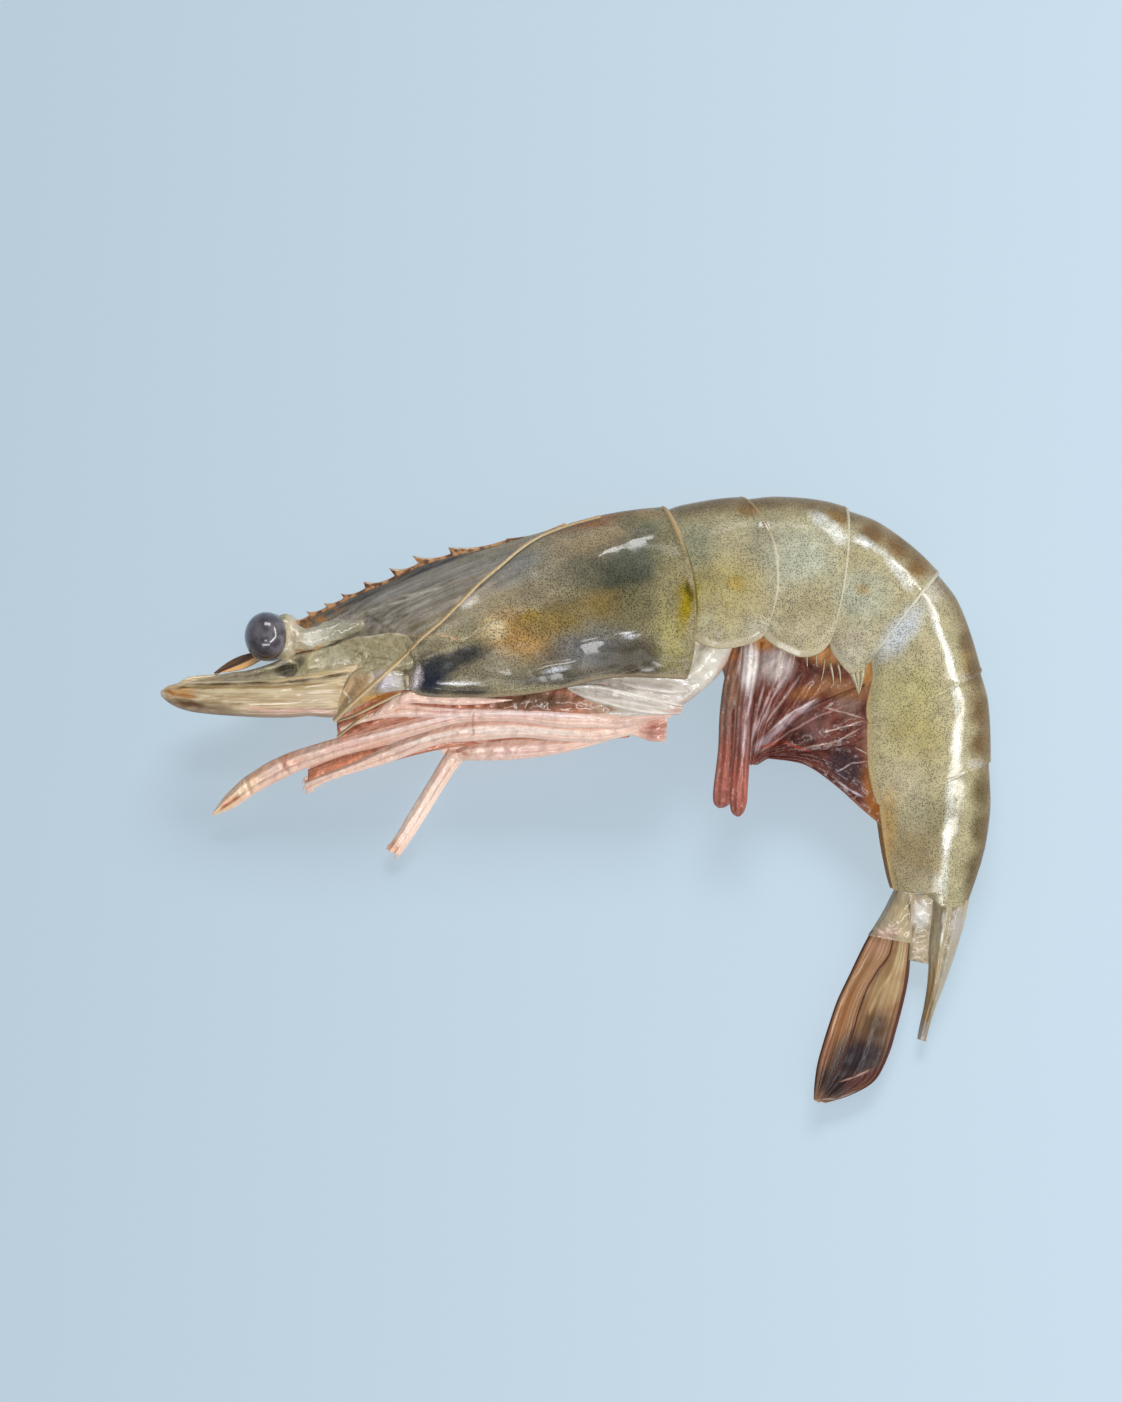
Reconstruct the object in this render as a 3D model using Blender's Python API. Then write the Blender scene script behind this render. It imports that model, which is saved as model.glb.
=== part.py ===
"""Raw whiteleg shrimp, whole and unpeeled, lying on its right side on a flat surface.

The head points to -X, the back to +Y and the curled tail to -Y; +Z is up, through the left side.
The origin is on the surface, under the middle of the animal's box. Sizes below are in millimetres
and become metres as each mesh is made. Every shell piece, limb and blade is a closed body of rings:
a sphere's rows are laid one by one on the rings, and its poles close the two ends.
"""
import math

import bmesh
import bpy
from mathutils import Vector

MM = 0.001
GAP = 0.3            # air between two pieces that lie against each other
KEEL = 8.45          # height of the body's middle plane over the surface, at the carapace
ROSTRUM_THICK = 1.5  # blade of the rostrum, at its lower edge
CREST_THICK = 0.7    # and along the toothed crest

# Ribs of the carapace, front to rear: where its back is (x, y), where its lower margin is (x, y),
# and its full width there.
CARAPACE_RIBS = (
    (-40.7, 26.4, -40.2, 25.2, 1.6),
    (-34.2, 29.5, -33.6, 23.7, 3.2),
    (-27.6, 32.4, -27.2, 20.9, 10.0),
    (-20.8, 35.0, -23.6, 15.9, 14.2),
    (-13.0, 37.1, -14.4, 15.3, 16.2),
    (-5.0, 39.3, -5.2, 16.1, 17.2),
    (3.6, 41.8, 4.4, 18.1, 17.4),
    (12.5, 42.9, 15.4, 17.9, 16.6),
)
CARAPACE_REAR_BULGE = 2.6   # how far the sides of the rear margin reach back past its ends

# Ribs of the abdomen, at the front of each ring and at the tail end: back (x, y), lower notch (x, y),
# full width, and how far the margin at this rib bulges towards the tail at mid-side.
ABDOMEN_RIBS = (
    (12.5, 42.7, 17.0, 24.0, 15.4, 2.3),
    (24.1, 44.4, 26.8, 24.9, 15.4, 3.4),
    (39.3, 42.8, 36.8, 24.4, 15.0, 0.7),
    (52.7, 33.1, 42.6, 20.6, 14.2, -0.4),
    (58.8, 18.8, 42.1, 11.4, 12.8, 0.6),
    (60.2, 5.7, 43.6, -0.5, 11.2, 0.5),
    (59.5, -6.0, 45.2, -9.2, 9.4, 0.3),
    (56.8, -15.3, 46.4, -14.2, 7.6, 0.6),
)
RING_SPANS = ((0, 1), (1, 2), (2, 3), (3, 4), (4, 5), (5, 7))   # the ribs each ring lies between
PLEURON_DROP = (2.2, 3.9, 3.4, 0.9, 0.9, 0.3)                   # lobe below the notches, per ring
TUCK = 0.035         # share by which a ring's front is smaller, to slide under the one before

# Half outlines of the cross-sections, from the back over the left side to the belly's middle, as
# (up the back, out to the side) in shares of half the height and half the width.
SHELL_SECTION = (
    (1.0, 0.0), (0.96, 0.2), (0.83, 0.46), (0.6, 0.74), (0.28, 0.93), (-0.1, 1.0), (-0.5, 0.97),
    (-0.82, 0.86), (-1.0, 0.74), (-0.98, 0.62), (-0.82, 0.5), (-0.74, 0.26), (-0.72, 0.0),
)
RING_SECTION = (
    (1.0, 0.0), (0.95, 0.26), (0.8, 0.56), (0.54, 0.83), (0.16, 0.98), (-0.26, 0.99),
    (-0.66, 0.9), (-0.93, 0.8), (-1.0, 0.7), (-0.93, 0.58), (-0.78, 0.34), (-0.72, 0.0),
)

# The crest of the rostrum: the line through the notches, and its teeth, front last, as
# (share of the line's length, height over the line).
CREST_LINE = ((-12.0, 37.5), (-18.3, 36.2), (-23.3, 34.7), (-26.7, 32.9), (-31.0, 31.1),
              (-34.1, 29.7), (-39.2, 27.2), (-45.5, 23.6), (-52.8, 18.8))
CREST_TEETH = ((0.05, 0.4), (0.125, 0.9), (0.25, 1.5), (0.375, 1.8), (0.5, 1.1), (0.625, 1.0),
               (0.69, 0.75), (0.75, 0.8), (0.785, 0.45), (0.9, 0.3), (0.95, 0.25))
ROSTRUM_KEEL = ((-52.8, 18.8), (-45.0, 21.9), (-40.0, 24.9), (-33.0, 28.0), (-24.0, 32.0))


def through(points, t):
    """The point at t, from 0 to 1, of the smooth curve through a row of points."""
    span = min(max(t, 0.0), 1.0) * (len(points) - 1)
    i = min(int(span), len(points) - 2)
    f = span - i
    before, after = points[max(i - 1, 0)], points[min(i + 2, len(points) - 1)]
    return tuple(
        q + 0.5 * f * (r - p + f * (2 * p - 5 * q + 4 * r - s + f * (3 * (q - r) + s - p)))
        for p, q, r, s in zip(before, points[i], points[i + 1], after)
    )


def ease(low, high, value):
    """Smooth step from 0 at low to 1 at high."""
    x = min(max((value - low) / (high - low), 0.0), 1.0)
    return x * x * (3 - 2 * x)


def section_point(section, turn):
    """Up-and-out shares on a closed cross-section; turn runs once round, from the back, left first."""
    side = 1 if turn <= 0.5 else -1
    up, out = through(section, 2 * turn if side > 0 else 2 - 2 * turn)
    return up, side * out


def finish(name, colour, roughness):
    """A piece's own material."""
    material = bpy.data.materials.new(name)
    material.use_nodes = True
    shader = material.node_tree.nodes["Principled BSDF"]
    shader.inputs["Base Color"].default_value = (*colour, 1.0)
    shader.inputs["Roughness"].default_value = roughness
    return material


def keep(name, bm, look):
    """Put a closed mesh in the scene as the named piece."""
    if bm.calc_volume(signed=True) < 0:
        bmesh.ops.reverse_faces(bm, faces=bm.faces)
    for vert in bm.verts:
        vert.co = vert.co * MM
    mesh = bpy.data.meshes.new(name)
    bm.to_mesh(mesh)
    bm.free()
    mesh.shade_smooth()
    mesh.set_sharp_from_angle(angle=math.radians(50))
    mesh.materials.append(finish(name, *look))
    piece = bpy.data.objects.new(name, mesh)
    bpy.context.collection.objects.link(piece)
    return piece


def ringed(place, around, rings):
    """A sphere whose rows are laid on rings: place(t, turn) is a point of the ring at t."""
    bm = bmesh.new()
    bmesh.ops.create_uvsphere(bm, u_segments=around, v_segments=rings + 1, radius=1.0)
    poles = []
    for vert in bm.verts:
        row = round(math.acos(min(max(vert.co.z, -1.0), 1.0)) / math.pi * (rings + 1)) - 1
        if 0 <= row < rings:
            turn = (math.atan2(vert.co.y, vert.co.x) / math.tau) % 1.0
            vert.co = place(row / (rings - 1), turn)
        else:
            poles.append(vert)
    for pole in poles:
        ring = [edge.other_vert(pole).co for edge in pole.link_edges]
        pole.co = sum(ring, Vector()) / len(ring)
    for vert in bm.verts:
        vert.co.z = max(vert.co.z, 0.0)      # what would sink is pressed flat on the surface
    return bm


def on_rib(rib, section, turn, drop=0.0, scale=1.0):
    """A point of the shell on a rib; drop lengthens the lobes below, scale shrinks about the middle."""
    back, belly, width = Vector(rib[0:2]), Vector(rib[2:4]), rib[4]
    up, out = section_point(section, turn)
    half = (back - belly) / 2
    up -= drop / half.length * ease(-0.35, -1.0, up)
    flat = (back + belly) / 2 + half * up * scale
    return flat, out * width / 2 * scale


def margin_shift(rib, section, turn, bulge):
    """How far a margin lies towards the tail of its rib, at this place round the ring."""
    up, _ = section_point(section, turn)
    half = Vector(rib[0:2]) - Vector(rib[2:4])
    tailward = Vector((-half.y, half.x)).normalized() * -1
    return tailward * bulge * max(0.0, 1 - up * up) ** 0.8


def carapace_point(t, turn, grow=0.0):
    """A point of the carapace's outside; t runs from the orbit to the rear margin."""
    rib = through(CARAPACE_RIBS, t)
    flat, out = on_rib(rib, SHELL_SECTION, turn)
    flat = flat + margin_shift(rib, SHELL_SECTION, turn, CARAPACE_REAR_BULGE * ease(0.55, 1.0, t))
    side = Vector((*(flat - (Vector(rib[0:2]) + Vector(rib[2:4])) / 2), out))
    point = Vector((flat.x, flat.y, KEEL + out))
    return point + side.normalized() * grow


def rostrum_blade():
    """The toothed blade: its outline filled, given its thickness, and thinned to the crest."""
    crest = [CREST_LINE[0]]
    for station, rise in CREST_TEETH:
        notch = Vector(through(CREST_LINE, station))
        ahead = (Vector(through(CREST_LINE, station + 0.03)) - notch).normalized()
        above = Vector((ahead.y, -ahead.x))
        crest += [notch + above * rise + ahead * rise * 0.3, notch]
    crest.append(CREST_LINE[-1])
    bm = bmesh.new()
    outline = [bm.verts.new((x, y, KEEL - ROSTRUM_THICK / 2)) for x, y in crest]
    keel = [bm.verts.new((x, y, KEEL - ROSTRUM_THICK / 2)) for x, y in ROSTRUM_KEEL[1:]]
    plate = bm.faces.new(outline + keel)
    raised = bmesh.ops.extrude_face_region(bm, geom=[plate])["geom"]
    top = [g for g in raised if isinstance(g, bmesh.types.BMVert)]
    bmesh.ops.translate(bm, vec=(0, 0, ROSTRUM_THICK), verts=top)
    thin = {(round(x, 3), round(y, 3)) for x, y in crest}
    for vert in bm.verts:
        if (round(vert.co.x, 3), round(vert.co.y, 3)) in thin:
            vert.co.z = KEEL + math.copysign(CREST_THICK / 2, vert.co.z - KEEL)
    bmesh.ops.triangulate(bm, faces=bm.faces)
    bmesh.ops.recalc_face_normals(bm, faces=bm.faces)
    return bm


def join_on(piece, addition):
    """Weld a second closed piece into the first, so that they are one solid."""
    weld = piece.modifiers.new("weld", "BOOLEAN")
    weld.operation = "UNION"
    weld.solver = "EXACT"
    weld.object = addition
    addition.hide_render = True
    addition.display_type = "WIRE"


def limb(name, route, sizes, look, around=8, rings=9, roll=0.0):
    """A limb or blade along a route: sizes are its (half height, half width) at even steps.

    The height lies in the plane of the body's side and the width across it, turned by roll degrees.
    """
    tilt = math.radians(roll)

    def place(t, turn):
        here = Vector(through(route, t))
        ahead = Vector(through(route, min(t + 0.02, 1.0))) - Vector(through(route, max(t - 0.02, 0.0)))
        ahead.normalize()
        across = Vector((0, 0, 1)).cross(ahead).normalized()
        over = ahead.cross(across)
        across, over = (across * math.cos(tilt) + over * math.sin(tilt),
                        over * math.cos(tilt) - across * math.sin(tilt))
        height, width = through(sizes, t)
        angle = turn * math.tau
        return here + across * (max(height, 0.05) * math.cos(angle)) \
            + over * (max(width, 0.05) * math.sin(angle))

    return keep(name, ringed(place, around, rings), look)


def ball(name, centre, radii, look, around=12, rows=8):
    """An egg-shaped piece."""
    bm = bmesh.new()
    bmesh.ops.create_uvsphere(bm, u_segments=around, v_segments=rows, radius=1.0)
    bmesh.ops.scale(bm, vec=radii, verts=bm.verts)
    bmesh.ops.translate(bm, vec=centre, verts=bm.verts)
    return keep(name, bm, look)


def mirrored(route, lift=0.0, shift=(0.0, 0.0)):
    """The same route on the animal's other side, below the middle plane."""
    return tuple((x + shift[0], y + shift[1], 2 * KEEL - z + lift) for x, y, z in route)


OLIVE_SHELL = ((0.33, 0.31, 0.2), 0.28)
RING_SHELL = ((0.42, 0.41, 0.27), 0.27)
CLEAR_SHELL = ((0.5, 0.45, 0.33), 0.3)
EYE_BLACK = ((0.06, 0.05, 0.065), 0.12)
FLESH = ((0.62, 0.56, 0.48), 0.32)
LEG_PINK = ((0.7, 0.46, 0.38), 0.34)
MOUTH_ORANGE = ((0.45, 0.19, 0.09), 0.36)
SWIMMER_RED = ((0.36, 0.14, 0.1), 0.35)
FAN_BROWN = ((0.3, 0.18, 0.1), 0.33)
THREAD_OCHRE = ((0.62, 0.38, 0.18), 0.42)

for leftover in list(bpy.data.objects):
    bpy.data.objects.remove(leftover, do_unlink=True)


# --- Carapace, with the rostrum as one piece ---

carapace = keep("carapace", ringed(carapace_point, 24, 16), OLIVE_SHELL)
join_on(carapace, keep("rostrum_blade", rostrum_blade(), OLIVE_SHELL))


# --- Abdomen: six rings, each with its pleura, lying like tiles ---

def middle_height(width):
    """Height of the middle plane where the body is this wide: the thinner tail lies lower."""
    return min(KEEL, width / 2 - 0.15)


def ring_point(number, t, turn):
    """A point of one ring of the abdomen; t runs from its front to its rear margin."""
    first, last = RING_SPANS[number]
    steps = len(ABDOMEN_RIBS) - 1
    place = (first + (last - first) * t) / steps
    rib = through(ABDOMEN_RIBS, place)
    lobe = PLEURON_DROP[number] * math.sin(math.pi * t) ** 0.5 if 0 < t < 1 else 0.0
    scale = 1 - TUCK * (1 - ease(0.0, 0.3, t))
    flat, out = on_rib(rib, RING_SECTION, turn, lobe, scale)
    front, rear = ABDOMEN_RIBS[first][5], ABDOMEN_RIBS[last][5]
    flat = flat + margin_shift(rib, RING_SECTION, turn, front + (rear - front) * t)
    half = (Vector(rib[0:2]) - Vector(rib[2:4])).normalized()
    tailward = Vector((half.y, -half.x))
    flat = flat + tailward * GAP * 0.8 * (1 - 2 * t)
    return Vector((flat.x, flat.y, middle_height(rib[4]) + out))


for number in range(len(RING_SPANS)):
    rings = 9 if number == 5 else 7
    keep(f"abdomen_ring_{number + 1}",
         ringed(lambda t, turn, n=number: ring_point(n, t, turn), 20, rings), RING_SHELL)


# --- Thorax: the flesh between the sides of the carapace, and the pale plates at the leg roots ---

limb("thorax_flesh",
     ((-4.0, 15.2, KEEL), (3.0, 16.2, KEEL), (9.5, 16.0, KEEL), (14.6, 17.2, KEEL),
      (18.9, 19.8, KEEL - 0.3), (20.8, 22.6, KEEL - 0.5)),
     ((0.8, 2.2), (1.9, 3.4), (2.8, 3.8), (3.2, 4.0), (2.7, 3.8), (1.2, 3.0)), FLESH, 14, 10)
limb("leg_root_upper", ((4.2, 17.4, KEEL + 4.7), (9.6, 17.3, KEEL + 4.9), (15.2, 16.4, KEEL + 4.6)),
     ((0.3, 0.3), (0.75, 0.5), (0.9, 0.4)), FLESH, 8, 6)
limb("leg_root_lower", ((-1.4, 15.6, KEEL + 4.1), (5.0, 15.3, KEEL + 4.9), (13.6, 14.3, KEEL + 4.4)),
     ((0.3, 0.3), (0.75, 0.55), (0.8, 0.45)), FLESH, 8, 7)


# --- Eyes on their stalks ---

EYE_LEFT = (-45.1, 24.0, KEEL + 4.6)
STALK_LEFT = ((-42.0, 24.1, KEEL + 4.2), (-39.2, 24.3, KEEL + 3.9), (-34.9, 25.2, KEEL + 3.6))
for side, eye, stalk in (
    ("left", EYE_LEFT, STALK_LEFT),
    ("right", mirrored((EYE_LEFT,), 0.5)[0], mirrored(STALK_LEFT, 0.5)),
):
    ball(f"eye_{side}", eye, (3.1, 3.55, 3.3), EYE_BLACK)
    limb(f"eyestalk_{side}", stalk, ((2.9, 2.4), (2.3, 1.9), (1.5, 1.2)), CLEAR_SHELL, 12, 6)


# --- Head: the block of the antenna roots, the antennules, the scales and the long antenna ---

limb("cephalon",
     ((-26.2, 17.2, KEEL), (-30.6, 18.4, KEEL), (-36.0, 19.2, KEEL), (-42.0, 19.2, KEEL)),
     ((1.7, 2.0), (3.3, 2.3), (3.6, 2.2), (0.9, 1.3)), CLEAR_SHELL, 12, 8)

ANTENNULE = ((-43.2, 18.7, KEEL + 1.6), (-47.5, 18.2, KEEL + 1.5), (-52.5, 17.6, KEEL + 1.2))
ANTENNA_ROOT = ((-26.4, 17.0, KEEL + 4.6), (-31.0, 16.7, KEEL + 4.5), (-34.6, 15.7, KEEL + 4.3))
SCALE = ((-35.4, 15.5, KEEL + 4.3), (-41.5, 15.2, KEEL + 4.2), (-48.0, 15.0, KEEL + 3.6),
         (-54.5, 14.9, KEEL + 2.5), (-60.2, 15.6, KEEL + 1.4))
SCALE_SIZE = ((3.0, 1.3), (2.7, 1.25), (2.5, 1.05), (2.1, 0.75), (0.7, 0.25))
for side, antennule, root, scale in (
    ("left", ANTENNULE, ANTENNA_ROOT, SCALE),
    ("right", mirrored(ANTENNULE), mirrored(ANTENNA_ROOT, 0.4),
     mirrored(SCALE, 0.4, (1.2, 1.5))),
):
    limb(f"antennule_{side}", antennule, ((1.1, 0.9), (0.9, 0.8), (0.35, 0.3)), CLEAR_SHELL, 8, 5)
    limb(f"antenna_root_{side}", root, ((1.9, 1.5), (2.9, 1.8), (2.9, 1.6)), CLEAR_SHELL, 12, 7)
    if side == "right":
        scale = ((-36.0, 16.0, scale[0][2]),) + scale[1:]
    limb(f"antennal_scale_{side}", scale, SCALE_SIZE, CLEAR_SHELL, 12, 10)

THREAD_RADIUS = 0.33
# Where the long antenna crosses the carapace, as (share of its length, share of the way round).
THREAD_ON_SHELL = ((0.45, 0.205), (0.505, 0.152), (0.555, 0.122), (0.625, 0.08), (0.705, 0.055),
                   (0.76, 0.05), (0.85, 0.042), (0.92, 0.038))
THREAD_FREE = ((-35.2, 11.6, KEEL + 4.2), (-33.6, 13.4, KEEL + 6.4), (-29.0, 18.0, KEEL + 7.2),
               (-24.8, 21.8, KEEL + 7.4))
thread_route = THREAD_FREE + tuple(
    tuple(carapace_point(t, turn, THREAD_RADIUS + GAP)) for t, turn in THREAD_ON_SHELL)
limb("antenna_thread", thread_route, ((THREAD_RADIUS, THREAD_RADIUS),) * 2, THREAD_OCHRE, 6, 26)
WHISKERS = {
    "1": ((-34.9, 9.6, KEEL + 2.2), (-32.4, 11.4, KEEL + 5.2), (-30.4, 12.8, KEEL + 5.6)),
    "2": ((-34.6, 11.9, KEEL + 3.4), (-31.5, 13.0, KEEL + 6.2), (-25.6, 15.9, KEEL + 6.9)),
}
for which, route in WHISKERS.items():
    limb(f"whisker_{which}", route, ((0.2, 0.2), (0.25, 0.25), (0.15, 0.15)), FLESH, 5, 5)


# --- Mouth limbs, folded forward under the head ---

MAXILLIPED_LEFT = ((-3.0, 14.6, KEEL + 3.6), (-12.0, 14.3, KEEL + 3.9), (-22.0, 14.2, KEEL + 3.8),
                   (-30.0, 12.8, KEEL + 2.6), (-34.6, 11.4, KEEL + 1.8))
MAXILLIPED_SIZE = ((0.5, 0.6), (0.75, 0.8), (0.9, 0.9), (0.85, 0.8), (0.35, 0.4))
limb("maxilliped_left", MAXILLIPED_LEFT, MAXILLIPED_SIZE, LEG_PINK, 8, 10)
limb("maxilliped_right", mirrored(MAXILLIPED_LEFT, 0.3), MAXILLIPED_SIZE, LEG_PINK, 8, 10)
limb("mouth_flap", ((-24.0, 13.2, KEEL - 0.2), (-29.0, 12.2, KEEL - 0.2), (-34.9, 10.8, KEEL - 0.2)),
     ((0.7, 1.0), (1.5, 1.0), (1.5, 0.6)), MOUTH_ORANGE, 8, 6)


# --- Walking legs: three long ones on the left, torn or pinched at the tip, and those under them ---

LEG_1 = ((8.6, 12.2, KEEL + 2.6), (0.0, 12.2, KEEL + 2.6), (-11.5, 12.7, KEEL + 2.2),
         (-20.2, 11.7, KEEL + 1.2), (-31.0, 8.9, KEEL - 0.8), (-41.0, 5.9, KEEL - 2.8),
         (-47.6, 2.9, KEEL - 4.4), (-53.4, -1.4, KEEL - 6.0))
LEG_2 = ((5.6, 10.9, KEEL - 0.2), (-3.0, 10.1, KEEL), (-12.0, 10.3, KEEL - 0.4),
         (-19.0, 9.9, KEEL - 1.2), (-28.0, 7.1, KEEL - 2.8), (-39.9, 2.5, KEEL - 5.0))
LEG_3_UPPER = ((4.4, 8.9, KEEL - 1.8), (-4.0, 7.9, KEEL - 2.6), (-11.0, 7.5, KEEL - 3.4),
               (-17.4, 7.2, KEEL - 4.2))
LEG_3_LOWER = ((-18.3, 6.3, KEEL - 4.6), (-22.6, -0.2, KEEL - 5.9), (-27.4, -7.6, KEEL - 7.0))
limb("leg_1_left", LEG_1, ((1.2, 1.0), (1.45, 1.1), (1.15, 1.0), (1.05, 1.0), (1.1, 0.95),
                           (1.15, 1.0), (1.45, 1.0), (0.3, 0.3)), LEG_PINK, 8, 18)
limb("leg_2_left", LEG_2, ((0.9, 0.9), (1.15, 1.0), (1.2, 1.0), (1.15, 0.95), (0.95, 0.85),
                           (1.0, 0.7)), LEG_PINK, 8, 14)
limb("leg_3_left_thigh", LEG_3_UPPER, ((0.7, 0.8), (1.05, 0.9), (1.1, 0.95), (1.0, 0.9)),
     LEG_PINK, 8, 8)
limb("leg_3_left_shin", LEG_3_LOWER, ((1.05, 0.95), (1.05, 0.9), (1.0, 0.8)), LEG_PINK, 8, 7)
limb("leg_4_left", ((6.9, 10.9, KEEL + 0.5), (9.6, 10.8, KEEL + 0.6), (12.8, 11.0, KEEL + 0.4)),
     ((0.5, 0.6), (1.0, 0.8), (1.9, 0.5)), SWIMMER_RED, 8, 6)
limb("leg_1_right", ((4.0, 12.2, KEEL - 2.8), (-8.0, 12.2, KEEL - 4.0), (-20.0, 10.2, KEEL - 5.0),
                     (-31.0, 6.9, KEEL - 5.8), (-39.3, 4.5, KEEL - 7.0)),
     ((0.9, 0.8), (1.1, 0.95), (1.1, 0.9), (1.2, 0.8), (1.0, 0.5)), LEG_PINK, 8, 11)
limb("leg_2_right", ((2.0, 10.2, KEEL - 5.6), (-8.0, 9.4, KEEL - 6.6), (-14.6, 8.9, KEEL - 7.0),
                     (-20.2, 8.1, KEEL - 7.3)),
     ((0.8, 0.7), (1.0, 0.9), (1.15, 0.85), (1.2, 0.6)), LEG_PINK, 8, 8)


# --- Swimming legs: the first pair hangs straight, the others fold over each other ---

SWIMMERS = {
    "1_left": (((23.6, 23.4, KEEL + 0.9), (24.2, 18.0, KEEL + 1.5), (23.9, 11.5, KEEL + 1.0),
                (23.3, 5.2, KEEL), (23.1, -1.6, KEEL - 1.4)),
               ((0.9, 0.8), (1.3, 0.8), (1.1, 0.75), (1.1, 0.7), (1.1, 0.5))),
    "1_right": (((23.0, 22.0, KEEL - 1.1), (22.1, 16.2, KEEL - 1.6), (21.6, 10.4, KEEL - 2.2),
                 (21.0, 4.4, KEEL - 3.2), (20.6, 0.1, KEEL - 4.2)),
                ((0.9, 0.8), (1.2, 0.9), (1.15, 0.75), (1.1, 0.7), (1.0, 0.5))),
    "2_left": (((30.6, 24.0, KEEL + 0.5), (29.2, 19.8, KEEL + 1.6), (28.2, 15.4, KEEL + 2.2),
                (26.8, 11.0, KEEL + 1.7), (25.6, 7.2, KEEL + 0.8)),
               ((1.2, 0.8), (2.0, 0.7), (2.2, 0.5), (1.5, 0.4), (0.5, 0.25))),
    "3_left": (((38.8, 20.6, KEEL - 0.1), (35.2, 17.6, KEEL + 0.7), (31.4, 13.8, KEEL + 1.0),
                (28.6, 9.8, KEEL + 0.5), (26.2, 6.9, KEEL - 0.2)),
               ((1.2, 0.8), (2.2, 0.6), (2.8, 0.45), (1.9, 0.4), (0.5, 0.25))),
    "4_left": (((42.6, 15.4, KEEL - 0.9), (39.2, 13.4, KEEL - 0.5), (35.6, 10.9, KEEL - 0.3),
                (31.4, 8.6, KEEL - 0.7), (27.6, 6.9, KEEL - 1.3)),
               ((1.4, 0.8), (3.0, 0.6), (3.3, 0.45), (2.2, 0.4), (0.5, 0.25))),
    "5_left": (((44.4, -0.4, KEEL - 1.9), (41.9, 0.5, KEEL - 1.7), (38.8, 3.6, KEEL - 1.4),
                (34.4, 6.2, KEEL - 1.5), (29.0, 7.0, KEEL - 2.0)),
               ((1.2, 0.7), (2.0, 0.55), (2.4, 0.4), (1.8, 0.35), (0.6, 0.25))),
}
# The right ones lie below the left: by this much at the blade, and by less at the root.
UNDER_LEFT = {"2": -8.8, "3": -6.7, "4": -4.4, "5": -2.2}
ROOT_UNDER = -2.3
for pair, below in UNDER_LEFT.items():
    route, sizes = SWIMMERS[f"{pair}_left"]
    drops = (ROOT_UNDER if pair != "5" else below, (ROOT_UNDER + below) / 2, below, below, below)
    SWIMMERS[f"{pair}_right"] = (
        tuple((x + 0.2, y, z + drop) for (x, y, z), drop in zip(route, drops)), sizes)
limb("pleopod_fringe", ((41.2, 4.6, KEEL - 2.6), (39.6, 8.4, KEEL - 2.4), (36.0, 12.0, KEEL - 2.2),
                        (31.0, 14.4, KEEL - 2.0), (25.6, 14.6, KEEL - 1.8)),
     ((1.0, 0.2), (3.4, 0.25), (4.6, 0.25), (5.2, 0.25), (5.4, 0.2)), SWIMMER_RED, 8, 8)
for which, (route, sizes) in SWIMMERS.items():
    limb(f"pleopod_{which}", route, sizes, SWIMMER_RED, 8, 8)


# --- Tail fan: the telson, and on each side a root and two blades, folded together ---

limb("telson",
     ((54.6, -16.4, 3.9), (53.6, -21.4, 3.2), (52.6, -26.2, 2.5), (51.7, -30.4, 1.9),
      (50.7, -35.2, 1.5)),
     ((1.9, 2.4), (1.95, 2.2), (1.35, 1.6), (0.85, 0.9), (0.6, 0.5)), CLEAR_SHELL, 10, 9)
limb("tail_web", ((50.6, -15.4, 3.1), (50.4, -19.0, 2.7), (49.9, -23.1, 2.4)),
     ((1.7, 0.9), (1.5, 0.6), (1.4, 0.25)), FLESH, 8, 6)
limb("uropod_root_left", ((47.4, -15.2, 4.9), (46.2, -17.6, 4.7), (45.1, -20.0, 4.4)),
     ((1.5, 1.2), (2.3, 1.2), (2.8, 0.9)), CLEAR_SHELL, 10, 6)
limb("uropod_root_right", ((47.4, -15.3, 1.9), (46.4, -17.6, 1.7), (45.6, -19.8, 1.5)),
     ((1.3, 1.0), (2.0, 1.0), (2.4, 0.9)), CLEAR_SHELL, 10, 6)

OUTER_BLADE = ((43.6, -20.4, 4.0), (41.4, -25.4, 3.8), (39.6, -30.8, 3.6), (38.1, -36.4, 3.4),
               (37.3, -41.0, 3.2), (36.6, -44.1, 3.1))
OUTER_SIZE = ((1.3, 0.5), (2.3, 0.5), (3.0, 0.45), (3.5, 0.4), (3.1, 0.35), (1.3, 0.2))
INNER_BLADE = ((46.4, -20.9, 3.0), (45.5, -26.0, 2.7), (44.2, -31.0, 2.5), (42.8, -36.0, 2.3),
               (41.4, -40.4, 2.2), (40.2, -42.9, 2.1))
INNER_SIZE = ((1.5, 0.4), (2.4, 0.45), (2.9, 0.4), (2.9, 0.35), (2.2, 0.3), (1.0, 0.2))
limb("uropod_outer_left", OUTER_BLADE, OUTER_SIZE, FAN_BROWN, 10, 11)
limb("uropod_inner_left", INNER_BLADE, INNER_SIZE, FAN_BROWN, 10, 11)
limb("uropod_outer_right", tuple((x + 0.6, y + 0.5, z - 2.6) for x, y, z in OUTER_BLADE),
     OUTER_SIZE, FAN_BROWN, 10, 11)
limb("uropod_inner_right", tuple((x + 0.4, y + 0.5, z - 2.2) for x, y, z in INNER_BLADE),
     INNER_SIZE, FAN_BROWN, 10, 11)
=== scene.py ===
"""Finish of a raw whiteleg shrimp, whole and unpeeled, dressed piece by piece over its solids.

The shrimp lies on its right side: head to -X, back to +Y, curled tail to -Y, left side up. Shapes are
worked out in millimetres and become metres as each mesh is kept. Every shell, limb and blade is a
sphere whose rows are laid on rings, so that its poles close the two ends.
"""
import math

import bmesh
import bpy
from mathutils import Matrix, Vector, noise


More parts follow.
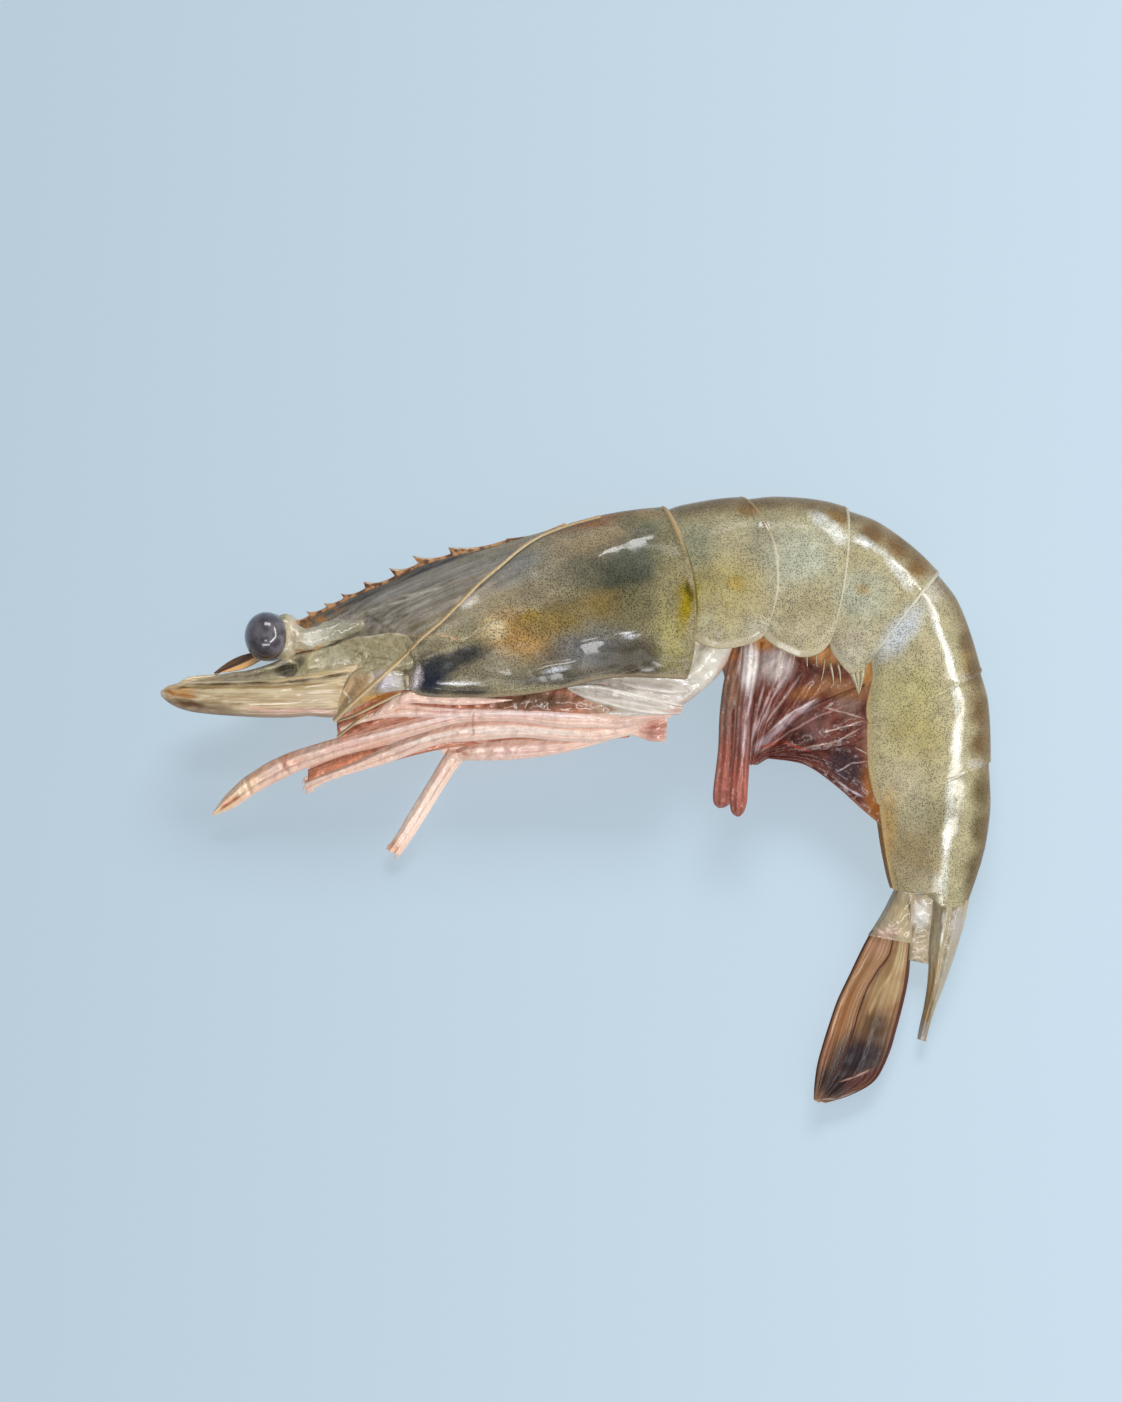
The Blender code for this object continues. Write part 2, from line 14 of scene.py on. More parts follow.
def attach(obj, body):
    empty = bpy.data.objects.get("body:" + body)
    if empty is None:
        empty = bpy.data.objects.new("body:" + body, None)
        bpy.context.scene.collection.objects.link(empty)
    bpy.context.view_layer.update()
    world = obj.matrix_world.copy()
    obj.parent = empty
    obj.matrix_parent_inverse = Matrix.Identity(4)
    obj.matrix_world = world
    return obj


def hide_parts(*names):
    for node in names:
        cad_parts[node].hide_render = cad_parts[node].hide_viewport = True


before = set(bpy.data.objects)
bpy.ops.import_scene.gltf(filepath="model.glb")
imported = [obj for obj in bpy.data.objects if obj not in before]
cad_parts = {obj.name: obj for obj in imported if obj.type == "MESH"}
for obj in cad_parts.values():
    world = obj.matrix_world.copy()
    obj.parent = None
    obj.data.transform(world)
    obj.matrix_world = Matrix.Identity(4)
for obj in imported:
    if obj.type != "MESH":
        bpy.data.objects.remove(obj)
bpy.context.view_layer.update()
MM = 0.001

# --- Studio ---
# A plain pale blue table, a soft window behind the shrimp's back, two strips of light on the tail
# side, and weaker soft boxes at the belly and overhead. The camera looks straight down.

scene = bpy.context.scene
scene.view_settings.view_transform = "Standard"
VIEW_CENTRE = (-2.6, 14.7)     # the point of the table under the camera
VIEW_HEIGHT = 600.0            # camera over the table
VIEW_SPAN = 203.3              # long side of the view, at the middle of the body
MIDDLE_PLANE = 9.0

view = bpy.data.cameras.new("view")
view.sensor_width = 36.0
view.lens = view.sensor_width * (VIEW_HEIGHT - MIDDLE_PLANE) / VIEW_SPAN
view.clip_start = 0.01
camera = bpy.data.objects.new("view", view)
camera.location = (VIEW_CENTRE[0] * MM, VIEW_CENTRE[1] * MM, VIEW_HEIGHT * MM)
bpy.context.collection.objects.link(camera)
scene.camera = camera

SOFT_LIGHTS = {
    # name: (one end in metres, the other end, width, watts, colour)
    "window": ((-0.14, 0.8, 0.5), (0.34, 0.78, 0.48), 0.22, 3.4, (0.97, 0.98, 1.0)),
    "tail_strip": ((0.475, 0.47, 0.325), (0.625, 0.01, 0.42), 0.1, 1.9, (1.0, 0.99, 0.97)),
    "low_strip": ((0.625, 0.01, 0.42), (0.27, -0.3, 0.62), 0.09, 2.0, (1.0, 0.99, 0.97)),
    "belly_box": ((-0.28, -0.46, 0.63), (0.3, -0.46, 0.63), 0.13, 1.9, (1.0, 1.0, 1.0)),
    "crown_box": ((-0.12, -0.24, 0.78), (0.1, -0.24, 0.78), 0.12, 0.6, (1.0, 1.0, 1.0)),
}
for name, (one_end, other_end, width, watts, colour) in SOFT_LIGHTS.items():
    one_end, other_end = Vector(one_end), Vector(other_end)
    lamp = bpy.data.lights.new(name, "AREA")
    lamp.shape = "RECTANGLE"
    lamp.size = width
    lamp.size_y = (other_end - one_end).length
    lamp.energy = watts
    lamp.color = colour
    lamp.use_shadow = name == "window"
    box = bpy.data.objects.new(name, lamp)
    along = (other_end - one_end).normalized()
    away = (one_end + other_end) / 2
    away = (away - along * away.dot(along)).normalized()
    facing = Matrix((along.cross(away), along, away)).transposed()
    box.matrix_world = Matrix.Translation((one_end + other_end) / 2) @ facing.to_4x4()
    bpy.context.collection.objects.link(box)

world = bpy.data.worlds.new("room")
scene.world = world
world.use_nodes = True
world.node_tree.nodes["Background"].inputs["Color"].default_value = (0.93, 0.96, 1.0, 1.0)
world.node_tree.nodes["Background"].inputs["Strength"].default_value = 0.22


def feed(tree, socket, value):
    """Gives a shader socket a plain value, or links it to the socket that makes one."""
    if isinstance(value, bpy.types.NodeSocket):
        tree.links.new(value, socket)
    else:
        socket.default_value = value


def add(tree, kind, inputs=None, **settings):
    """A shader node with its settings, its inputs given as values or as sockets to link."""
    made = tree.nodes.new("ShaderNode" + kind)
    for name, value in settings.items():
        setattr(made, name, value)
    for name, value in (inputs or {}).items():
        feed(tree, made.inputs[name], value)
    return made


def finish(name, roughness, coat=0.0, coat_roughness=0.1, subsurface=0.0, radius=(1.0, 0.6, 0.4)):
    """A new material: its tree and its shader, with what is the same all over the surface."""
    material = bpy.data.materials.new(name)
    material.use_nodes = True
    tree = material.node_tree
    shader = tree.nodes["Principled BSDF"]
    shader.inputs["Roughness"].default_value = roughness
    shader.inputs["Coat Weight"].default_value = coat
    shader.inputs["Coat Roughness"].default_value = coat_roughness
    shader.inputs["Coat IOR"].default_value = 1.5
    shader.inputs["Specular IOR Level"].default_value = 0.15
    shader.inputs["Subsurface Weight"].default_value = subsurface
    shader.inputs["Subsurface Radius"].default_value = radius
    shader.inputs["Subsurface Scale"].default_value = 0.6 * MM
    return material, tree, shader


table_bm = bmesh.new()
bmesh.ops.create_grid(table_bm, x_segments=1, y_segments=1, size=1.2)
table_mesh = bpy.data.meshes.new("table")
table_bm.to_mesh(table_mesh)
table_bm.free()
table_top, _, table_shader = finish("pale_table", 0.75)
table_shader.inputs["Base Color"].default_value = (0.46, 0.57, 0.66, 1.0)
table_mesh.materials.append(table_top)
table = bpy.data.objects.new("table", table_mesh)
bpy.context.collection.objects.link(table)


# --- Carapace ---
# The shield over head and chest is one bent sheet of clear olive shell, dotted with dark pigment, over
# darker organs that tint it. It folds over the back and hangs free at both lower edges; the rear
# edge is a thick cord, and low ridges and a small spine stand on its front half.

KEEL = 8.45          # height of the body's middle plane, at the carapace
CARAPACE_RIBS = (    # back (x, y), lower margin (x, y) and full width, front to rear
    (-40.5, 25.5, -40.2, 24.8, 1.2),
    (-34.2, 28.3, -33.6, 23.7, 3.2),
    (-27.4, 31.3, -27.2, 20.9, 9.6),
    (-20.6, 34.4, -23.6, 15.9, 14.0),
    (-13.0, 37.0, -14.4, 15.3, 16.2),
    (-5.0, 39.3, -5.2, 16.1, 17.2),
    (3.6, 41.8, 4.4, 18.1, 17.4),
    (12.5, 42.9, 15.4, 17.9, 16.6),
)
CARAPACE_REAR_BULGE = 2.6
SHELL_SECTION = (    # from the back over the side to the belly: (up the back, out to the side)
    (1.0, 0.0), (0.96, 0.2), (0.83, 0.46), (0.6, 0.74), (0.28, 0.93), (-0.1, 1.0), (-0.5, 0.97),
    (-0.82, 0.86), (-1.0, 0.74), (-0.98, 0.62), (-0.82, 0.5), (-0.74, 0.26), (-0.72, 0.0),
)
# Ridges on its side: their route, height and half width.
CARAPACE_RIDGES = (
    (((-30.4, 27.4), (-26.0, 24.6), (-22.8, 24.4), (-20.3, 24.1)), 0.2, 0.4),
    (((-20.4, 24.3), (-18.6, 23.8), (-17.1, 23.6)), 0.45, 0.35),
    (((-17.1, 23.6), (-15.7, 23.9), (-14.1, 25.2), (-12.6, 25.9), (-10.9, 26.2)), 0.2, 0.45),
    (((-23.0, 20.3), (-20.0, 21.7), (-16.2, 22.8), (-12.0, 23.3)), 0.25, 0.45),
    (((-33.0, 27.2), (-26.0, 29.8), (-19.7, 31.4), (-13.0, 33.4)), 0.2, 0.45),
    (((-23.8, 17.0), (-23.2, 20.2), (-24.4, 22.6), (-28.0, 24.6)), 0.3, 0.35),
    (((-22.5, 16.9), (-18.0, 16.2), (-10.0, 16.3), (0.0, 17.3), (8.0, 19.2)), 0.2, 0.4),
    (((0.4, 23.4), (3.0, 24.0)), 0.22, 0.9),
    (((5.4, 24.6), (8.3, 25.0)), 0.26, 0.9),
    (((-5.9, 19.5), (-3.3, 20.2), (-0.4, 20.7)), 0.2, 0.9),
    (((2.5, 35.2), (4.8, 36.6), (6.8, 37.5)), 0.16, 0.8),
    (((7.4, 37.9), (11.0, 39.4)), 0.16, 0.8),
)


def through(points, t):
    """The point at t, from 0 to 1, of the smooth curve through a row of points."""
    span = min(max(t, 0.0), 1.0) * (len(points) - 1)
    i = min(int(span), len(points) - 2)
    f = span - i
    before, after = points[max(i - 1, 0)], points[min(i + 2, len(points) - 1)]
    return tuple(
        q + 0.5 * f * (r - p + f * (2 * p - 5 * q + 4 * r - s + f * (3 * (q - r) + s - p)))
        for p, q, r, s in zip(before, points[i], points[i + 1], after)
    )


def ease(low, high, value):
    """Smooth step from 0 at low to 1 at high."""
    x = min(max((value - low) / (high - low), 0.0), 1.0)
    return x * x * (3 - 2 * x)


def hump(value, middle, reach):
    """A smooth bump of height 1 at middle, nearly gone beyond reach."""
    return math.exp(-((value - middle) / reach) ** 2)


def ripple(place, size, height):
    """Unevenness of the given size and height, the same at the same place each time."""
    return noise.noise(Vector(place) / size) * height


def ridge_rise(ridges, x, y):
    """Height that the ridges add at a point of the side."""
    rise = 0.0
    for route, height, reach in ridges:
        for (ax, ay), (bx, by) in zip(route, route[1:]):
            dx, dy = bx - ax, by - ay
            share = min(max(((x - ax) * dx + (y - ay) * dy) / (dx * dx + dy * dy), 0.0), 1.0)
            gap = math.hypot(x - ax - share * dx, y - ay - share * dy)
            if gap < 3 * reach:
                rise = max(rise, height * math.exp(-(gap / reach) ** 2))
    return rise


def section_point(section, turn):
    """Up-and-out shares on a closed cross-section; turn runs once round, from the back, left first."""
    side = 1 if turn <= 0.5 else -1
    up, out = through(section, 2 * turn if side > 0 else 2 - 2 * turn)
    return up, side * out


def margin_shift(rib, up, bulge):
    """How far a margin lies towards the tail of its rib, at this place round the ring."""
    half = Vector(rib[0:2]) - Vector(rib[2:4])
    tailward = Vector((half.y, -half.x)).normalized()
    return tailward * bulge * max(0.0, 1 - up * up) ** 0.8


def carapace_ring(t, grow=0.0):
    """The ring of the carapace at t, from the orbit to the rear margin."""
    rib = through(CARAPACE_RIBS, t)
    back, belly = Vector(rib[0:2]), Vector(rib[2:4])
    middle, half = (back + belly) / 2, (back - belly) / 2
    bulge = CARAPACE_REAR_BULGE * ease(0.55, 1.0, t)
    cord = 0.26 * hump(t, 0.988, 0.006) - 0.1 * hump(t, 0.965, 0.012)
    front = ease(0.0, 0.12, t)

    def point(turn):
        up, out = section_point(SHELL_SECTION, turn)
        flat = middle + half * up + margin_shift(rib, up, bulge)
        side = Vector((flat.x - middle.x, flat.y - middle.y, out * rib[4] / 2))
        place = Vector((flat.x, flat.y, KEEL + out * rib[4] / 2))
        fold = 1 - abs(1 - 2 * turn)
        rise = ridge_rise(CARAPACE_RIDGES, flat.x, flat.y) * ease(0.0, 0.25, abs(out))
        rise += cord * ease(0.0, 0.04, fold) * (1 - ease(0.27, 0.36, fold))
        rise += 0.22 * hump(fold, 0.655, 0.014)
        rise += front * (ripple(place, 5.0, 0.3) + ripple(place, 1.7, 0.09)) * (0.3 + 0.7 * abs(out))
        return place + side.normalized() * (rise + grow)

    return point


def ringed(ring_at, around, rings):
    """A sphere whose rows are laid on rings; its skin is mapped (0 back to 1 belly, 0 front to 1 rear)."""
    bm = bmesh.new()
    bmesh.ops.create_uvsphere(bm, u_segments=around, v_segments=rings + 1, radius=1.0)
    rows = [ring_at(row / (rings - 1)) for row in range(rings)]
    skin = {}
    poles = []
    for vert in bm.verts:
        row = round(math.acos(min(max(vert.co.z, -1.0), 1.0)) / math.pi * (rings + 1)) - 1
        turn = (math.atan2(vert.co.y, vert.co.x) / math.tau) % 1.0
        if 0 <= row < rings:
            skin[vert] = (1 - abs(1 - 2 * turn), row / (rings - 1))
            vert.co = rows[row](turn)
        else:
            poles.append(vert)
    for pole in poles:
        ring = [edge.other_vert(pole) for edge in pole.link_edges]
        pole.co = sum((vert.co for vert in ring), Vector()) / len(ring)
        skin[pole] = (0.5, skin[ring[0]][1])
    layer = bm.loops.layers.uv.new("skin")
    for face in bm.faces:
        for loop in face.loops:
            loop[layer].uv = skin[loop.vert]
    for vert in bm.verts:
        vert.co.z = max(vert.co.z, 0.0)
    return bm


def keep(name, bm, material, slot, *nodes):
    """A finished mesh becomes a piece of the shrimp, in place of the solids named."""
    if bm.calc_volume(signed=True) < 0:
        bmesh.ops.reverse_faces(bm, faces=bm.faces)
    bmesh.ops.scale(bm, vec=(MM, MM, MM), verts=bm.verts)
    mesh = bpy.data.meshes.new(name)
    bm.to_mesh(mesh)
    bm.free()
    mesh.shade_smooth()
    mesh.materials.append(material)
    piece = bpy.data.objects.new(name, mesh)
    bpy.context.collection.objects.link(piece)
    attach(piece, "root")
    if nodes:
        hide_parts(*nodes)
    return piece


def group(name, inputs, outputs):
    """A new shader group: its tree, its input node and its output node."""
    tree = bpy.data.node_groups.new(name, "ShaderNodeTree")
    for label, kind, value in inputs:
        socket = tree.interface.new_socket(name=label, in_out="INPUT", socket_type="NodeSocket" + kind)
        if value is not None:
            socket.default_value = value
    for label, kind in outputs:
        tree.interface.new_socket(name=label, in_out="OUTPUT", socket_type="NodeSocket" + kind)
    return tree, tree.nodes.new("NodeGroupInput"), tree.nodes.new("NodeGroupOutput")


def object_place(tree):
    """Where the surface is, in the shrimp's own frame."""
    return add(tree, "TexCoord").outputs["Object"]


def smooth_range(tree, value, low, high, start=0.0, end=1.0):
    """A value between low and high brought to start..end, with soft shoulders."""
    return add(tree, "MapRange", {"Value": value, "From Min": low, "From Max": high,
                                  "To Min": start, "To Max": end},
               interpolation_type="SMOOTHSTEP").outputs["Result"]


def maths(tree, operation, *values):
    """One step of arithmetic."""
    made = add(tree, "Math", operation=operation)
    for socket, value in zip(made.inputs, values):
        feed(tree, socket, value)
    return made.outputs["Value"]


def vector_maths(tree, operation, *values):
    """One step of arithmetic on vectors."""
    made = add(tree, "VectorMath", operation=operation)
    for socket, value in zip(made.inputs, values):
        feed(tree, socket, value)
    return made.outputs["Vector"]


def blend(tree, factor, under, over):
    """One colour over another, by a mask."""
    made = add(tree, "Mix", data_type="RGBA")
    for socket, value in ((made.inputs[0], factor), (made.inputs[6], under), (made.inputs[7], over)):
        feed(tree, socket, (*value, 1.0) if isinstance(value, tuple) else value)
    return made.outputs[2]


def soft_patch_group():
    """A soft-edged oval spot on the side, seen along Z."""
    tree, given, made = group(
        "soft patch",
        (("Place", "Vector", None), ("Centre", "Vector", None), ("Size", "Vector", (1, 1, 1)),
         ("Turn", "Float", 0.0), ("Strength", "Float", 1.0)),
        (("Mask", "Float"),))
    off = vector_maths(tree, "SUBTRACT", given.outputs["Place"], given.outputs["Centre"])
    turned = add(tree, "VectorRotate", {"Vector": off, "Angle": given.outputs["Turn"]},
                 rotation_type="Z_AXIS", invert=True).outputs["Vector"]
    shares = vector_maths(tree, "DIVIDE", turned, given.outputs["Size"])
    flat = vector_maths(tree, "MULTIPLY", shares, (1, 1, 0))
    far = add(tree, "VectorMath", operation="LENGTH")
    tree.links.new(flat, far.inputs[0])
    near = smooth_range(tree, far.outputs["Value"], 0.25, 1.25, 1.0, 0.0)
    tree.links.new(maths(tree, "MULTIPLY", near, given.outputs["Strength"]), made.inputs["Mask"])
    return tree


def wander_group():
    """The surface's place, shaken unevenly, so that spots and bands get natural edges."""
    tree, given, made = group("wandering place", (("Size", "Float", 0.004), ("Reach", "Float", 0.0015)),
                              (("Place", "Vector"),))
    place = object_place(tree)
    shake = add(tree, "TexNoise", {"Vector": place, "Scale": maths(tree, "DIVIDE", 1.0,
                                                                  given.outputs["Size"]),
                                   "Detail": 3.0, "Roughness": 0.55})
    centred = vector_maths(tree, "SUBTRACT", shake.outputs["Color"], (0.5, 0.5, 0.5))
    reach = add(tree, "VectorMath", {"Scale": given.outputs["Reach"]}, operation="SCALE")
    tree.links.new(centred, reach.inputs[0])
    moved = vector_maths(tree, "ADD", place, reach.outputs["Vector"])
    tree.links.new(moved, made.inputs["Place"])
    return tree


def pigment_group():
    """Dots of dark pigment in the shell, thick in some places and thin in others."""
    tree, given, made = group("pigment dots", (("Spacing", "Float", 0.0006), ("Size", "Float", 0.3)),
                              (("Dots", "Float"),))
    place = object_place(tree)
    scale = maths(tree, "DIVIDE", 1.0, given.outputs["Spacing"])
    cells = add(tree, "TexVoronoi", {"Vector": place, "Scale": scale, "Randomness": 1.0})
    chance = add(tree, "SeparateColor", {"Color": cells.outputs["Color"]})
    size = maths(tree, "MULTIPLY", given.outputs["Size"],
                 maths(tree, "MULTIPLY_ADD", chance.outputs["Red"], 0.3, 0.75))
    inner = maths(tree, "MULTIPLY", size, 0.3)
    dot = add(tree, "MapRange", {"Value": cells.outputs["Distance"], "From Min": inner,
                                 "From Max": size, "To Min": 1.0, "To Max": 0.0},
              interpolation_type="SMOOTHSTEP").outputs["Result"]
    cloud = add(tree, "TexNoise", {"Vector": place, "Scale": 260.0, "Detail": 2.0}).outputs["Fac"]
    thick = smooth_range(tree, cloud, 0.35, 0.65, 0.75, 1.0)
    tree.links.new(maths(tree, "MULTIPLY", dot, thick), made.inputs["Dots"])
    return tree


def wet_group():
    """Small dimples and ripples of a wet surface, which break up its reflections."""
    tree, given, made = group("wet surface", (("Coarse", "Float", 0.0016), ("Fine", "Float", 0.0005),
                                              ("Depth", "Float", 0.00012)),
                              (("Normal", "Vector"),))
    place = object_place(tree)
    coarse = add(tree, "TexNoise", {"Vector": place, "Detail": 2.0, "Scale": maths(
        tree, "DIVIDE", 1.0, given.outputs["Coarse"])}).outputs["Fac"]
    fine = add(tree, "TexNoise", {"Vector": place, "Detail": 1.0, "Scale": maths(
        tree, "DIVIDE", 1.0, given.outputs["Fine"])}).outputs["Fac"]
    height = maths(tree, "MULTIPLY_ADD", fine, 0.3, coarse)
    bump = add(tree, "Bump", {"Height": height, "Strength": 1.0, "Distance": given.outputs["Depth"]})
    tree.links.new(bump.outputs["Normal"], made.inputs["Normal"])
    return tree


def streak_group():
    """Long fine streaks that run one way."""
    tree, given, made = group("streaks", (("Place", "Vector", None), ("Turn", "Float", 0.0),
                                          ("Length", "Float", 0.01), ("Width", "Float", 0.0008),
                                          ("Contrast", "Float", 0.2)), (("Mask", "Float"),))
    turned = add(tree, "VectorRotate", {"Vector": given.outputs["Place"],
                                        "Angle": given.outputs["Turn"]},
                 rotation_type="Z_AXIS", invert=True).outputs["Vector"]
    size = add(tree, "CombineXYZ", {"X": given.outputs["Length"], "Y": given.outputs["Width"],
                                    "Z": given.outputs["Width"]}).outputs["Vector"]
    grain = add(tree, "TexNoise", {"Vector": vector_maths(tree, "DIVIDE", turned, size),
                                   "Scale": 1.0, "Detail": 3.0}).outputs["Fac"]
    low = maths(tree, "SUBTRACT", 0.5, given.outputs["Contrast"])
    high = maths(tree, "ADD", 0.5, given.outputs["Contrast"])
    streaks = add(tree, "MapRange", {"Value": grain, "From Min": low, "From Max": high},
                  interpolation_type="SMOOTHSTEP").outputs["Result"]
    tree.links.new(streaks, made.inputs["Mask"])
    return tree


SOFT_PATCH = soft_patch_group()
WANDER = wander_group()
PIGMENT = pigment_group()
WET = wet_group()
STREAKS = streak_group()


def use(tree, effect, **inputs):
    """A shared effect, placed in a material with its own values."""
    return add(tree, "Group", {key.capitalize(): value for key, value in inputs.items()},
               node_tree=effect)


def marked(tree, colour, marks, place):
    """Soft spots laid over a colour: x, y, half length, half width, turn, tint, strength."""
    for x, y, length, width, turn, tint, strength in marks:
        spot = use(tree, SOFT_PATCH, place=place, centre=(x * MM, y * MM, 0.0),
                   size=(length * MM, width * MM, 1.0), turn=math.radians(turn), strength=strength)
        colour = blend(tree, spot.outputs["Mask"], colour, tint)
    return colour


def stroke(points, half_width, tint, strength=0.9):
    """Marks in a row that follow a line."""
    rows = []
    for (ax, ay), (bx, by) in zip(points, points[1:]):
        rows.append(((ax + bx) / 2, (ay + by) / 2, math.hypot(bx - ax, by - ay) * 0.62, half_width,
                     math.degrees(math.atan2(by - ay, bx - ax)), tint, strength))
    return tuple(rows)


def speckled(tree, colour, spacing, size, strength):
    """Dots of pigment over a colour, each a darker shade of the colour around it."""
    clouds = add(tree, "TexNoise", {"Vector": object_place(tree), "Scale": 480.0, "Detail": 4.0,
                                    "Roughness": 0.6}).outputs["Fac"]
    colour = vector_maths(tree, "MULTIPLY", colour, smooth_range(tree, clouds, 0.35, 0.65, 0.88, 1.1))
    dots = use(tree, PIGMENT, spacing=spacing, size=size).outputs["Dots"]
    shade = vector_maths(tree, "MULTIPLY", colour, (0.13, 0.11, 0.12))
    return blend(tree, maths(tree, "MULTIPLY", dots, strength), colour, shade)


def glossed(tree, shader, patches):
    """Leaves a wet shell mirror-like only in broken places, and softly shiny elsewhere."""
    place = use(tree, WANDER, size=0.0014, reach=0.0012).outputs["Place"]
    sharp = marked(tree, (0.0, 0.0, 0.0), tuple((*patch, (1.0, 1.0, 1.0), 1.0) for patch in patches), place)
    film = add(tree, "TexNoise", {"Vector": object_place(tree), "Scale": 900.0, "Detail": 2.0}).outputs["Fac"]
    sharp = maths(tree, "MULTIPLY", sharp, smooth_range(tree, film, 0.36, 0.5, 0.5, 1.0))
    tree.links.new(smooth_range(tree, sharp, 0.0, 0.6, 0.15, 1.0), shader.inputs["Coat Weight"])


LOW_RIM = 0.66      # how far round a shell its lower rim's line lies


def dress(tree, shader, colour, surface):
    """Links a finish's colour, and the node that gives its relief, to its shader."""
    tree.links.new(colour, shader.inputs["Base Color"])
    tree.links.new(surface.outputs["Normal"], shader.inputs["Normal"])


def low_rim_strip(tree, round_way, gone, full):
    """A strip along a shell's lower rim, full near the rim's line and gone further off."""
    off_line = maths(tree, "ABSOLUTE", maths(tree, "SUBTRACT", round_way, LOW_RIM))
    return smooth_range(tree, off_line, gone, full)


def skin_map(tree):
    """The piece's own map: how far round from the back, and how far along."""
    split = add(tree, "SeparateXYZ", {"Vector": add(tree, "UVMap", uv_map="skin").outputs["UV"]})
    return split.outputs["X"], split.outputs["Y"]


CARAPACE_MARKS = (
    (-8.6, 33.7, 20.3, 7.2, 20, (0.34, 0.29, 0.18), 0.8),           # clear front over pale muscle
    (-20.4, 30.4, 16.7, 4.3, 24, (0.22, 0.195, 0.15), 0.9),
    (-26.7, 27.6, 8.7, 2.6, 20, (0.17, 0.145, 0.105), 0.85),
    (-26.0, 24.7, 7.2, 2.0, 15, (0.24, 0.2, 0.11), 0.9),
    (-28.9, 21.4, 7.2, 3.8, 0, (0.33, 0.29, 0.18), 0.9),
    (-31.0, 29.4, 8.7, 1.3, 27, (0.34, 0.31, 0.24), 0.7),
    # painted shade in the groove under the crest
    (-33.9, 27.6, 6.7, 1.0, 29, (0.13, 0.1, 0.07), 0.8),
    (-11.5, 28.6, 6.1, 3.2, 15, (0.42, 0.34, 0.19), 0.9),
    (-7.1, 30.5, 4.9, 3.2, 15, (0.29, 0.24, 0.14), 0.8),
    (-2.8, 21.4, 4.9, 3.2, 10, (0.17, 0.13, 0.07), 0.85),
    *stroke(((-8.6, 21.4), (-4.9, 23.6), (-1.3, 25.7)), 1.1, (0.5, 0.3, 0.1), 0.7),
    (-4.9, 20.7, 2.3, 1.2, 15, (0.14, 0.1, 0.06), 0.7),
    (-2.8, 28.2, 3.5, 1.7, 10, (0.17, 0.135, 0.07), 0.85),
    (3.0, 30.8, 2.3, 1.4, 0, (0.26, 0.21, 0.09), 0.7),
    (-0.6, 34.4, 2.0, 1.4, 30, (0.15, 0.14, 0.09), 0.8),
    # painted highlight: a bright sheen spot on the front of the side
    (-15.8, 28.9, 2.0, 1.3, 15, (0.86, 0.82, 0.68), 1.0),
    (-9.0, 24.1, 5.8, 4.1, -15, (0.46, 0.27, 0.085), 0.95),         # orange liver under the shell
    (-11.7, 25.0, 2.6, 2.0, 0, (0.66, 0.54, 0.3), 0.95),
    (-6.7, 26.8, 2.3, 1.3, 15, (0.4, 0.26, 0.04), 0.8),
    (-3.3, 25.9, 5.8, 2.9, 10, (0.26, 0.18, 0.05), 0.9),
    (-14.1, 19.5, 5.5, 3.5, 0, (0.23, 0.2, 0.12), 0.9),
    (-8.6, 34.3, 5.2, 2.6, 25, (0.2, 0.215, 0.2), 0.8),
    (3.0, 37.6, 10.1, 2.9, 10, (0.46, 0.34, 0.19), 0.85),           # brown along the back
    (2.0, 41.0, 11.0, 1.6, 7, (0.34, 0.17, 0.07), 0.95),
    (8.8, 40.4, 4.3, 1.7, -10, (0.2, 0.2, 0.1), 0.7),
    (0.7, 33.3, 5.8, 4.3, 0, (0.19, 0.17, 0.105), 0.85),           # dark gut
    (6.2, 31.7, 6.0, 8.7, -20, (0.075, 0.08, 0.05), 1.0),
    (8.8, 34.4, 1.7, 2.3, -20, (0.06, 0.065, 0.045), 0.8),
    (9.6, 36.6, 5.5, 3.5, 30, (0.12, 0.13, 0.08), 0.85),
    (3.5, 28.3, 4.6, 2.9, 0, (0.26, 0.17, 0.045), 0.8),
    (9.1, 27.6, 5.8, 4.3, 0, (0.2, 0.175, 0.08), 0.85),
    (2.8, 21.8, 7.5, 4.1, 0, (0.145, 0.15, 0.15), 0.9),           # grey gills low on the side
    (8.6, 20.4, 7.5, 4.2, 0, (0.07, 0.052, 0.026), 0.95),
    (-3.3, 17.8, 8.7, 1.7, 0, (0.085, 0.075, 0.055), 0.9),
    (-21.2, 18.1, 3.6, 4.1, 0, (0.01, 0.016, 0.035), 1.0),            # blue-black patch inside
    (-19.3, 19.5, 1.7, 1.4, 30, (0.012, 0.016, 0.028), 1.0),
    (-15.8, 16.3, 3.8, 0.9, 0, (0.05, 0.045, 0.04), 0.85),
    (-17.5, 20.7, 6.1, 1.9, 22, (0.045, 0.045, 0.042), 0.95),
    (12.9, 33.6, 2.9, 7.2, 0, (0.27, 0.235, 0.11), 0.8),
    # pale strip at the front edge, with a painted highlight on it
    (-23.4, 17.7, 1.1, 2.6, 0, (0.6, 0.54, 0.54), 0.95),
    (13.2, 23.6, 2.9, 6.4, 0, (0.4, 0.35, 0.13), 0.85),             # yellow fat at the rear margin
    (15.1, 28.3, 1.3, 4.4, 0, (0.33, 0.24, 0.0), 0.95),
    (15.6, 30.3, 0.6, 2.3, 0, (0.1, 0.07, 0.0), 0.95),
)
CARAPACE_GLINTS = (
    (4.1, 35.7, 2.9, 1.4, 30), (8.8, 38.1, 3.5, 1.4, 20), (1.9, 22.8, 2.3, 1.3, 20),
    (7.1, 24.0, 1.9, 1.2, -15),
    (-3.2, 19.1, 3.5, 1.3, 15), (-17.7, 17.0, 4.3, 0.7, 0), (-10.7, 18.5, 1.2, 0.7, 0),
    (-22.3, 16.9, 1.2, 0.9, 0),
    (14.4, 41.0, 1.2, 1.2, 0), (10.3, 19.5, 1.7, 0.7, 10),
)

